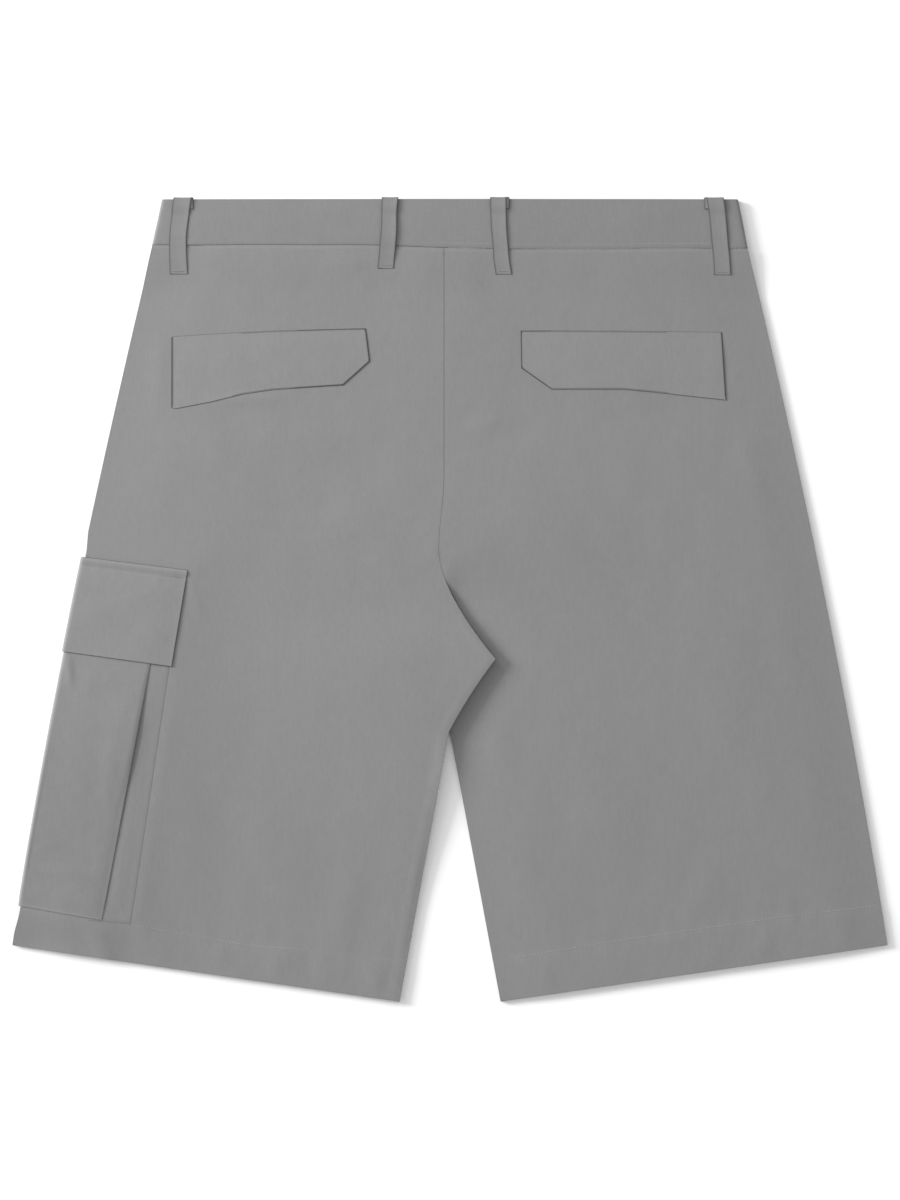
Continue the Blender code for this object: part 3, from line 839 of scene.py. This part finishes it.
def loop_path(loop):
    """The middle of the tape: folded root, fold, and down to the foot. Also 1 at the root, 0 below."""
    radius = (TAPE + TAPE_GAP) / 2
    fold_y = LOOP_TOP_Y - TAPE / 2 - radius
    rest = float(band_top(loop.top_x, 290.0)) + 0.2 + TAPE / 2
    turns, ease = np.linspace(0, np.pi, 9)[1:-1], np.linspace(0, 1, 7)
    root_y = fold_y - LOOP_ROOT + spread(LOOP_ROOT, 5, 0.5)
    main_y = np.flip(loop.foot_y + spread(fold_y - loop.foot_y, 46, 0.5))
    down = (fold_y - main_y) / (fold_y - loop.foot_y)
    main_x = between(loop.top_x, loop.foot_x, down)
    lie = cloth_top(main_x, main_y) + 0.06 + TAPE / 2
    over_root = 2 * radius * (1 - smooth((fold_y - main_y - LOOP_ROOT + 2) / 7))
    spring = loop.spring * np.sin(np.clip(down * 1.12, 0, 1) * np.pi)
    main_z = np.maximum(lie, rest * (main_y > SEAM_Y + 6)) + over_root + spring
    fold_z = rest + radius * (1 - np.cos(turns)) + (main_z[0] - rest - 2 * radius) * ease
    x = np.append(np.full(len(root_y) + len(turns), loop.top_x), main_x)
    y = np.concatenate([root_y, fold_y + radius * np.sin(turns), main_y])
    z = np.concatenate([0 * root_y + rest, fold_z, main_z])
    return x, y, z, np.concatenate([0 * root_y + 1, 1 - ease, 0 * main_y])


def back_loop(name, loop, seed):
    x, y, z, root = loop_path(loop)
    down = np.clip((LOOP_TOP_Y - y) / (LOOP_TOP_Y - loop.foot_y), 0, 1)
    x = x + loop.root_shift * root + loop.bend * np.sin(down * np.pi) * (1 - root)
    x = x + 0.25 * ripple(y, 0 * y, seed, 24, 4)
    width = loop.width - 2.8 * down * (1 - down) + 0.3 * ripple(y, 0 * y, seed + 9, 30, 4)
    across = spread(1.0, 9, 0.03)
    run = run_along(y, z)
    ny, nz = path_normals(y, z)
    thick = TAPE - 0.28 * bell((y - loop.foot_y) / 3)
    x, y, z, ny, nz, run, width, thick = (part[:, None] for part in (x, y, z, ny, nz, run, width, thick))
    crown = 0.16 * np.sin(across * np.pi)
    centre = together(x + (across - 0.5) * width, y + ny * crown, z + nz * crown)
    normal = together(0 * across, ny, nz)
    from_ends, from_sides = np.minimum(run, run[-1] - run), np.minimum(across, 1 - across) * width
    shade_from = least(from_ends * 2.5, from_sides)
    folded_shell(name, centre, normal, thick, least(from_ends, from_sides), 0.3, tape_twill, shade_from)


for number, loop in enumerate(BACK_LOOPS, 1):
    back_loop(f"belt_loop_{number}", loop, 30 + number)

# %% Front loops: plain tape under the waistband, seen from below
FRONT_TAPE, FRONT_LOOP_LENGTH = 12.0, WAIST_TOP_Y - 241.0
for label, side in (("left", -1), ("right", 1)):
    across, down = np.meshgrid(spread(FRONT_TAPE, 6, 0.5), spread(FRONT_LOOP_LENGTH, 22, 0.5))
    x, y = side * FRONT_LOOP_X - FRONT_TAPE / 2 + across, WAIST_TOP_Y - down
    from_edge = least(across, FRONT_TAPE - across, down, FRONT_LOOP_LENGTH - down)
    laid_shell(f"front_loop_{label}", x, y, 0.06 * (1 + ripple(x, y, 51, 20, 4)), 0.95, from_edge)

# %% [markdown]
# ## Back pocket flaps
# Each flap is turned double and pressed, with one corner cut off. Its top edge is caught in the seam above
# the pocket, so it is thin there, and its free edges stand a little off the panel and throw the fine shadow
# that shows where the pocket is. Sections across the flap, a top and a foot for each, give the outline.

# %% Flaps
# Each section: its top x and y, its foot x and y
LEFT_FLAP = [
    (-206.2, 194.4, -206.2, 141.8),
    (-202.9, 194.8, -202.9, 141.2),
    (-176.7, 196.4, -176.7, 146.3),
    (-154.1, 197.7, -154.1, 151.9),
    (-131.4, 198.8, -131.4, 155.3),
    (-79.2, 200.3, -79.2, 158.7),
    (-62.3, 200.6, -59.4, 176.3),
]
RIGHT_FLAP = [
    (201.2, 197.9, 204.4, 147.6),
    (175.2, 198.2, 175.2, 150.8),
    (150.2, 198.5, 150.2, 153.6),
    (127.7, 198.7, 127.7, 155.7),
    (75.0, 199.0, 75.0, 155.6),
    (52.3, 198.9, 52.8, 171.2),
]
FLAP_CLOTH, FLAP_HEIGHT = 0.38, 50


def section_grid(sections, columns, rows, rim):
    """Grid between the tops and the feet of the sections, which stay exact columns."""
    table = np.array(sections)
    place = run_along(table[:, 2], table[:, 3])
    wanted = np.union1d(spread(place[-1], columns, rim), place[1:-1])
    top_x, top_y, foot_x, foot_y = (np.interp(wanted, place, column) for column in table.T)
    height = np.hypot(foot_x - top_x, foot_y - top_y)
    share = np.array([spread(h, rows, rim) / h for h in height]).T
    x, y = between(top_x, foot_x, share), between(top_y, foot_y, share)
    return x, y, share, from_outline(x, y, np.vstack([table[:, :2], table[::-1, 2:]]))[0]


def back_flap(name, sections, seed, stand):
    """stand is how far the free end of the flap stands off the panel at its left and at its right."""
    x, y, share, from_edge = section_grid(sections, 74, 26, 0.3)
    from_top, from_foot, from_left = share * FLAP_HEIGHT, (1 - share) * FLAP_HEIGHT, x - x.min()
    sewn = 1 - smooth(from_top / 12)
    loose = between(*stand, smooth(from_left / from_left.max())) * smooth(share / 0.5)
    loose = loose * (0.8 + 0.3 * ripple(x, y, seed, 45, 4))
    soft = 0.06 * (1 + ripple(x, y, seed + 1, 26, 4)) * (1 - sewn) * smooth(from_edge / 8)
    under = back_top(x, y) + 0.06 + np.clip(loose, 0, None) + soft
    nearest = from_edge + 0.05
    sides = [from_left < nearest, from_foot <= nearest, from_top <= nearest]
    shade_from = from_edge * np.select(sides, [0.65, 4.5, 3.4], 1.0)
    laid_shell(name, x, y, under, FLAP_CLOTH - 0.12 * sewn, from_edge, 0.5, 0.3, turned_twill_lit, shade_from)


back_flap("back_flap_left", LEFT_FLAP, 61, (0.0, 0.12))
back_flap("back_flap_right", RIGHT_FLAP, 64, (0.15, 0.25))


# %% [markdown]
# ## Cargo pocket
# The pocket is one panel wrapped round the outseam, with a bellows strip down each long side so that it can
# swell, and a flap over its mouth. Flat on the floor it is a stack: flap, pocket, bellows, leg, and then
# the same again on the other side. Every wrapped piece is one grid that runs from its edge on the front,
# round the outseam and on to its edge on the back, so the fold is a true fold.

# %% Wrapped pieces
POCKET_CLOTH, GUSSET_CLOTH, CARGO_FLAP_CLOTH = 0.8, 0.55, 0.75
POCKET_HEIGHT, CARGO_FLAP_HEIGHT = 245, 70.5
FLAP_BAND = 6.3  # height of the stitched band along the top of the flap
GUSSET_TUCK = 10  # how far the bellows reach in under the pocket
FOLD_ROLL = 2.2  # the fold is pressed, so it is narrower than it is high
ON_FOLD = 99.0  # stands for a distance from the ends, where the cloth goes round the fold
FLAP_FRONT_Z, POCKET_FRONT_Z, GUSSET_FRONT_Z = 0.42, 1.45, 2.2


def wrapped(name, outer_y, inner, low, lie, thick, rows, columns, reach=0.0, material=None):
    """A piece folded round the left outseam, at height low in front. lie gives its height on the back."""
    height = outer_y[0] - outer_y[1]
    down = spread(height, rows, 0.5)
    share = down / height
    fold_y = outer_y[0] - down
    end_x, end_y = (np.interp(share, [0, 1], ends) for ends in zip(*inner))
    edge_x = -outseam_x(fold_y) - reach
    length = np.hypot(end_x - edge_x, end_y - fold_y)
    ways = zip((end_x - edge_x) / length, (end_y - fold_y) / length)
    turns = np.linspace(0, np.pi, 15)[1:-1]
    grids = []
    for k, (way_x, way_y) in enumerate(ways):
        flat = length[k] - FOLD_ROLL
        along = spread(flat * 2, columns, 0.5)
        along = along[along <= flat]
        turn = np.concatenate([0 * along, turns, 0 * along + np.pi])
        run = np.concatenate([along, flat + FOLD_ROLL * np.sin(turns), along[::-1]])
        from_end = np.concatenate([along, 0 * turns + ON_FOLD, along[::-1]])
        x, y = end_x[k] - way_x * run, end_y[k] - way_y * run
        rise = lie(x, y, from_end, share[k] + 0 * x) - low
        out, up = np.sin(turn) * rise / 2, -np.cos(turn) * FOLD_ROLL
        size = np.hypot(out, up)
        z = low + rise * (1 - np.cos(turn)) / 2
        grids.append([x, y, z, -way_x * out / size, -way_y * out / size, up / size, from_end])
    x, y, z, nx, ny, nz, from_end = np.stack(grids, axis=1)
    down, up, share = down[:, None], height - down[:, None], share[:, None]
    shade_from = np.where(from_end == ON_FOLD, ON_FOLD, least(down * 3, up * 4, from_end * 2.5))
    thickness = thick(from_end, share + 0 * x)
    centre, normal = together(x, y, z), together(nx, ny, nz)
    folded_shell(name, centre, normal, thickness, least(from_end, down, up), 0.4, material, shade_from)


# %% The pocket, sewn flat at its mouth and its foot
OPENING_AT = [0, 0.24, 0.34, 0.44, 0.52, 0.6, 0.8, 0.9, 0.97, 1]
OPENING = [0.0, 0.0, 0.6, 1.3, 1.15, 0.35, 0.12, 0.2, 0.05, 0.0]  # how far the free edge stands open
POCKET_CREASES = [
    (-284, -52, -262, -74, 3, 5, 0.25),  # puckers just below the flap
    (-276, -50, -240, -62, -3, 6, 0.35),
    (-270, -88, -286, -190, 4, 12, 0.2),
    (-250, -110, -272, -214, -4, 12, -0.14),
    (-300, -196, -262, -220, 2, 6, 0.35),
    (-284, -38, -279, -66, 0, 3, 0.7),
    (-246, -84, -258, -176, 0, 7, 0.32),
    (-318, -197, -248, -205, 0, 3, 0.5),
]


def pocket_ends(x, y):
    """0 at the pocket's mouth and foot, 1 between them."""
    mouth_y, foot_y = (np.interp(x, [-outseam_x(outer_y), inner_x], [outer_y, inner_y])
                       for outer_y, (inner_x, inner_y) in zip(POCKET_OUTER_Y, POCKET_INNER))
    return smooth((y - foot_y) / 14) * smooth((mouth_y - y - 30) / 80)


def pocket_lie(x, y, from_end, share):
    """Middle of the pocket's cloth on the back. Its free edge opens in the middle of its length."""
    ends = pocket_ends(x, y)
    lip = 0.85 * np.interp(share, OPENING_AT, OPENING) * bell((from_end - 4) / 38)
    tilt = 0.022 * np.minimum(from_end, 85) * smooth((-y - 40) / 120) * smooth((y + 225) / 40)
    soft = 0.1 + (0.14 * ripple(x, y, 71, 42, 5) + 0.07 * ripple(x, y, 72, 17, 5)) * smooth(from_end / 16)
    swell = ends * (GUSSET_CLOTH + lip + soft) + creases(x, y, POCKET_CREASES) * smooth(from_end / 12)
    return back_top(x, y) + 0.12 + tilt + pocket_thickness(from_end, share) / 2 + np.clip(swell, 0, None)


def pocket_thickness(from_end, share):
    """Thin where it is pressed: at its free edge, its foot and its mouth."""
    from_foot, from_mouth = (1 - share) * POCKET_HEIGHT, share * POCKET_HEIGHT
    roll = 1.6 + 3.4 * smooth((share - 0.52) / 0.2)  # the lower part of the free edge is pressed flatter
    pressed_thin = np.maximum(bell(from_end / roll), bell(from_foot / 5))
    return POCKET_CLOTH - 0.5 * np.maximum(pressed_thin, 1 - smooth((from_mouth - 20) / 60))


wrapped("cargo_pocket", POCKET_OUTER_Y, POCKET_INNER, POCKET_FRONT_Z, pocket_lie, pocket_thickness, 70, 88)

# %% Cargo flap, with the band where its top edge is stitched
FLAP_CREASES = [
    (-282, -8, -246, -14, 2, 7, 0.25),
    (-262, 12, -232, 2, -2, 6, -0.1),
    (-236, -20, -208, -34, 3, 8, 0.12),
]


def flap_lie(x, y, from_end, share):
    """Middle of the flap's cloth on the back. Its top is sewn to the leg, and it hangs over the pocket."""
    from_top = share * CARGO_FLAP_HEIGHT
    stack = (0.4 + 0.5 * (1 - np.exp(-from_end / 50))) * smooth((from_top - 3) / 20)
    band = 0.6 * smooth(from_top / 2.2) * (1 - 0.8 * smooth((from_top - 2.4) / (FLAP_BAND - 2.4)))
    groove = -0.2 * bell((from_top - FLAP_BAND) / 0.8)
    pull = np.clip(0.08 * ripple(x, 0.4 * y, 75, 13, 5) * bell((from_top - 7) / 6), -0.06, None)
    soft = (0.09 * (1 + ripple(x, y, 76, 38, 5)) + creases(x, y, FLAP_CREASES)) * smooth(from_top / 12)
    middle = back_top(x, y) + 0.07 + flap_thickness(from_end, share) / 2
    return middle + stack + band + groove + pull + np.clip(soft, 0, None)


def flap_thickness(from_end, share):
    return CARGO_FLAP_CLOTH - 0.4 * bell(from_end / 12) - 0.15 * (1 - smooth(share / 0.2))


wrapped("cargo_flap", FLAP_OUTER_Y, FLAP_INNER, FLAP_FRONT_Z, flap_lie, flap_thickness, 88, 100,
        reach=1.3, material=turned_twill_lit)


# %% Bellows strips
def gusset(name, front):
    """From under the pocket's edge out to its own seam. Its fold drops away where the pocket opens."""
    top, foot = np.array(POCKET_INNER)
    corners = [top - (GUSSET_TUCK, 0), foot - (GUSSET_TUCK, 0)]
    corners += [foot + (GUSSET_WIDTH[1], -2.9), top + (GUSSET_WIDTH[0], 0)]
    share, across = spread(1.0, 80, 0.0025)[:, None], spread(1.0, 44, 0.02)
    inner, outer = between(corners[0], corners[1], share), between(corners[3], corners[2], share)
    x, y = (between(a[:, None], b[:, None], across) for a, b in zip(inner.T, outer.T))
    width = (outer - inner)[:, :1]
    from_edge = from_outline(x, y, corners)[0]
    if front:
        laid_shell(name, x, y, GUSSET_FRONT_Z, GUSSET_CLOTH, from_edge)
        return
    opening = np.interp(share, OPENING_AT, OPENING)
    fold = smooth(opening / 0.5) * (1 - smooth((across * width - GUSSET_TUCK - 2.8 * opening + 0.8) / 1.6))
    soft = np.clip(0.04 + 0.06 * ripple(x, y, 81, 30, 5), 0, 0.1)
    rise = smooth((1 - across) * width / 15) * pocket_ends(x, y)
    thick = 0.08 + ((GUSSET_CLOTH - 0.12) * (1 - 0.85 * fold) + soft) * rise
    laid_shell(name, x, y, back_top(x, y) + 0.03, thick, from_edge, 0.4, 0.4)


gusset("cargo_gusset_back", False)
gusset("cargo_gusset_front", True)


# %% [markdown]
# ## Waist button
# A button is turned on a lathe and drilled, so it is a profile spun round its axis: a raised rim, a dished
# middle and a rounded back. Four holes are drilled through it with a cylinder each, and thread crosses
# between them. It lies face down on the floor, under the lapped end of the waistband.

# %% Button
HOLE_RADIUS, HOLE_PLACE = 0.95, 1.75


def button_material():
    material, tree, shader = new_material("grey_button", 0.4, specular=0.5)
    shade = use_group(tree, DYE_SHADE, Clouds=0.05, Slubs=0.0, Specks=0.02)
    plug(shader["Base Color"], tinted(tree, (0.155, 0.155, 0.16), shade))
    swirl = node(tree, "TexNoise", Vector=node(tree, "TexCoord", "Object"), Scale=600.0)
    plug(shader["Roughness"], swirl * 0.25 + 0.3)
    return material


def spun(profile, sides):
    """Points and faces of a form spun round X. The profile is places and radii, and closes at both ends."""
    turns = np.arange(sides) * 2 * np.pi / sides
    points = [(profile[0][0], 0.0, 0.0)]
    for place, radius in profile[1:-1]:
        points += [(place, radius * math.cos(turn), radius * math.sin(turn)) for turn in turns]
    points.append((profile[-1][0], 0.0, 0.0))
    faces, last = [], len(points) - 1
    for k in range(sides):
        after = (k + 1) % sides
        faces.append((0, 1 + after, 1 + k))
        faces.append((last, last - sides + k, last - sides + after))
        for a in range(1, last - sides, sides):
            faces.append((a + k, a + after, a + sides + after, a + sides + k))
    return np.array(points), faces


def waist_button():
    face = [(0.62, 0.0), (0.62, 2.9), (0.5, 4.6), (0.18, 5.4), (0.0, 6.2), (0.0, 7.4)]
    side = [(0.2, 8.1), (0.6, 8.45), (1.0, 8.5), (1.5, 8.3), (1.85, 7.6)]
    back = [(2.0, 6.0), (2.0, 2.9), (2.0, 0.0)]
    points, faces = spun(face + side + back, 48)
    body = add_mesh("turned_button", points[:, [1, 2, 0]] + (0, BUTTON_Y, 0), faces, grey_button)
    for turn in np.radians([45, 135, 225, 315]):
        x, y = HOLE_PLACE * math.cos(turn), BUTTON_Y + HOLE_PLACE * math.sin(turn)
        bpy.ops.mesh.primitive_cylinder_add(
            vertices=20, radius=HOLE_RADIUS * MM, depth=6 * MM, location=(x * MM, y * MM, MM))
        drill = bpy.context.object
        cut = body.modifiers.new("hole", "BOOLEAN")
        cut.operation, cut.solver, cut.object = "DIFFERENCE", "EXACT", drill
        with bpy.context.temp_override(object=body, active_object=body):
            bpy.ops.object.modifier_apply(modifier="hole")
        bpy.data.objects.remove(drill, do_unlink=True)
    body.data.set_sharp_from_angle(angle=math.radians(50))
    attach(body, "root")
    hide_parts("waist_button")


grey_button = button_material()
waist_button()


# %% [markdown]
# ## Stitches
# A lockstitch shows as a row of short rounded dashes, each drawn a little into the cloth. One small capsule
# is made, and NumPy repeats it along a path, turned to the path and set on the cloth beneath it, with a
# little unevenness from a seeded generator. Each kind of row is joined into one mesh, so there are few
# objects.

# %% One stitch
CAPSULE = [(-0.5, 0), (-0.42, 0.7), (-0.25, 1), (0.25, 1), (0.42, 0.7), (0.5, 0)]  # of unit length and radius
STITCH_POINTS, STITCH_FACES = spun(CAPSULE, 6)
UP = np.array([0.0, 0.0, 1.0])
stitch_rows = {}


def sew(kind, path, surface, pitch=2.5, length=1.7, width=0.5, depth=0.3, seed=0):
    """Lay stitches along a path in x and y, at the height surface gives. They are kept under their kind."""
    path, rng = np.asarray(path, float), np.random.default_rng(seed)
    run = run_along(*path.T)
    starts = np.arange(0.3, run[-1] - length, pitch) + rng.uniform(-0.08, 0.08)
    longer = length * rng.uniform(0.92, 1.06, starts.shape)
    ends = [[np.interp(at, run, part) for part in path.T] for at in (starts, starts + longer)]
    start, end = (together(*xy, surface(*xy)) for xy in ends)
    along = end - start
    middle = (start + end) / 2 + rng.normal(0, 0.03, along.shape) * (1, 1, 0)
    way = along / np.linalg.norm(along, axis=1)[:, None]
    side = together(-way[:, 1], way[:, 0], 0)
    px, py, pz = STITCH_POINTS.T[:, None, :, None]
    points = middle[:, None] + along[:, None] * px + side[:, None] * py * width / 2 + UP * pz * depth / 2
    stitch_rows.setdefault(kind, []).append(points)


def line_of(*corners, step=4.0):
    """Points every few millimetres along straight pieces."""
    points = [np.array(corners[:1], float)]
    for a, b in zip(corners, corners[1:]):
        share = np.linspace(0, 1, max(2, int(math.dist(a, b) / step)))[1:, None]
        points.append(between(np.array(a), np.array(b), share))
    return np.vstack(points)


# %% Hems, back and front
def hem_path(side, far=0.0):
    x = np.linspace(HEM_INNER[0] + 5, HEM_OUTER[0] - 6 - far, 70) * side
    return together(x, hem_stitch_y(x))


def hem_back(x, y):
    """The thread is pulled down into the cloth on the inner part of the left leg."""
    return back_top(x, y) + 0.04 - 0.17 * smooth((x + 158) / 55) * (x < 0)


def on_front(x, y, side=-1):
    return front_under(x, y, side) + 0.03


for side in (-1, 1):
    sew("hem", hem_path(side, 82 if side < 0 else 0), hem_back, seed=1 + side)
    sew("hem", hem_path(side), partial(on_front, side=side), seed=5 + side)

# %% Waist seam, belt loops, cargo pocket
def waist_row(x0, x1, above):
    x = np.linspace(x0, x1, 60)
    return together(x, SEAM_Y - 0.2 + above + seam_wave(x))


def pocket_back(x, y):
    """Top of the pocket's cloth near its foot."""
    far = np.full(x.shape, 30.0)
    return pocket_lie(x, y, far, np.full(x.shape, 0.995)) + pocket_thickness(far, 0.995) / 2


def flap_back(x, y):
    """Top of the cargo flap along the foot of its stitched band."""
    far, share = np.full(x.shape, 30.0), np.full(x.shape, FLAP_BAND / CARGO_FLAP_HEIGHT)
    return flap_lie(x, y, far, share) + flap_thickness(far, share) / 2


sew("waist", waist_row(HALF_WAIST_SEAM - 6, -2, 0.0), band_top, 2.2, 1.3, 0.45, 0.2, seed=11)
for start, end, seed in ((44, 192, 12), (-7, 31, 13)):
    sew("waist", waist_row(start, end, 3.4), band_top, 2.6, 1.7, 0.35, 0.14, seed)
for number, loop in enumerate(BACK_LOOPS):
    foot, half = np.array((loop.foot_x, loop.foot_y + 2.4)), (loop.width / 2 - 1.6, 0)
    row = line_of(foot - half, foot + half, step=1.0)
    sew("loop", row, lambda x, y: cloth_top(x, y) + 0.06 + TAPE + 0.1, 1.5, 1.2, 0.4, 0.2, seed=20 + number)
(end_x, end_y), band_y = FLAP_INNER[0], FLAP_OUTER_Y[0] - FLAP_BAND
flap_line = line_of((-outseam_x(24) + 1, band_y), (end_x - 1.5, end_y - FLAP_BAND))
sew("flap", flap_line, flap_back, 2.8, 2.0, 0.3, 0.12, seed=31)
foot_line = line_of((-outseam_x(-225) + 3, -225.2), (POCKET_INNER[1][0] - 2.0, POCKET_INNER[1][1] + 1.2))
sew("pocket", foot_line, pocket_back, 2.5, 1.7, 0.5, 0.3, seed=32)

# %% The fly, on the hidden front, and the thread of the button
curve = bezier((-33, 150), (-33, 118), (-22, 100), (-7, 92), 20)
fly = np.vstack([line_of((-33, 257), (-33, 150)), curve[1:]])
sew("fly", fly, on_front, seed=41)
sew("fly", fly + (6, 0), on_front, seed=42)
sew("fly", line_of((-7.5, 255), (-7.5, 96), (-9.5, 40)), on_front, seed=43)
for turn in (-1, 1):
    bar = line_of((-2.6, BUTTON_Y + turn * 1.25), (2.6, BUTTON_Y + turn * 1.25), step=1.0)
    for shift in (-0.28, 0.28):
        sew("button", bar + (0, shift), lambda x, y: 0.6 + 0 * x, 9.0, 4.4, 0.5, 0.5, seed=50 + turn)

# %% Join each kind of stitch into one mesh
THREAD = {"edge_depth": 0.0, "edge_width": 0.1, "rib": 0.3, "slant": 0.6, "bump": 0.3}
grey_thread = cloth_material("grey_thread", 1.4, **THREAD)
dark_thread = cloth_material("dark_thread", 0.9, **THREAD)
for kind, rows in stitch_rows.items():
    every = np.vstack(rows)
    firsts = range(0, len(every) * len(STITCH_POINTS), len(STITCH_POINTS))
    faces = [[first + point for point in face] for first in firsts for face in STITCH_FACES]
    material = dark_thread if kind == "flap" else grey_thread
    thread = add_mesh(f"{kind}_stitches", every.reshape(-1, 3), faces, material)
    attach(thread, "root")
    print(kind, "stitches:", len(every))


# %% [markdown]
# ## Camera, floor and light
# The shorts lie on a pale floor and the camera looks straight down, high up, so that nothing is
# foreshortened. One large soft lamp stands low at the upper left, where it rakes across the cloth and
# brings out its edges. A small one nearby, on the same side, adds to it at the waist. Even light from all
# round keeps the shadows open.

# %% Camera
FRAME_HEIGHT = 888.0 * MM  # of floor seen from top to bottom
FRAME_MIDDLE_Y = -0.37 * MM
camera_data = bpy.data.cameras.new("camera")
camera_data.lens, camera_data.sensor_width = 85, 36
camera = bpy.data.objects.new("camera", camera_data)
camera.location = (0, FRAME_MIDDLE_Y, 0.004 + FRAME_HEIGHT * camera_data.lens / camera_data.sensor_width)
bpy.context.scene.collection.objects.link(camera)
bpy.context.scene.camera = camera
bpy.context.scene.view_settings.view_transform = "Standard"
print("camera height:", round(camera.location.z, 3), "m")

# %% Floor
FLOOR = [(-6000, -6000, 0), (6000, -6000, 0), (6000, 6000, 0), (-6000, 6000, 0)]
pale_floor, _, shader = new_material("pale_floor", 0.9, specular=0.1)
shader["Base Color"].default_value = (0.93, 0.93, 0.93, 1)
floor = add_mesh("floor", FLOOR, [(0, 1, 2, 3)], pale_floor)
floor.location.z = -0.2 * MM
print("floor:", [round(side, 1) for side in floor.dimensions], "m")

# %% Light
def lamp(name, azimuth, elevation, distance, size, watts):
    """A soft square lamp aimed at the middle of the shorts. Azimuth is anticlockwise from +X."""
    data = bpy.data.lights.new(name, "AREA")
    data.size, data.energy = size, watts
    made = bpy.data.objects.new(name, data)
    a, e = math.radians(azimuth), math.radians(elevation)
    out = distance * math.cos(e)
    made.location = (out * math.cos(a), out * math.sin(a), distance * math.sin(e))
    made.rotation_euler = (math.pi / 2 - e, 0, a + math.pi / 2)
    bpy.context.scene.collection.objects.link(made)


lamp("key", 160, 18, 6.5, 1.9, 600)
lamp("near", 132, 31, 1.57, 0.5, 6.1)
world = bpy.data.worlds.new("studio")
world.use_nodes = True
from_all_round = world.node_tree.nodes["Background"].inputs
from_all_round["Color"].default_value = (1, 1, 1, 1)
from_all_round["Strength"].default_value = 0.68
bpy.context.scene.world = world
print("lamps:", [data.name for data in bpy.data.lights])

# %% [markdown]
# ## Riding and replacing
# Every piece rides on the one body of the frame and stands for its CAD node.

# %% Hand the pieces to the frame
for name, piece in cloth_pieces.items():
    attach(piece, "root")
    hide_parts(name)
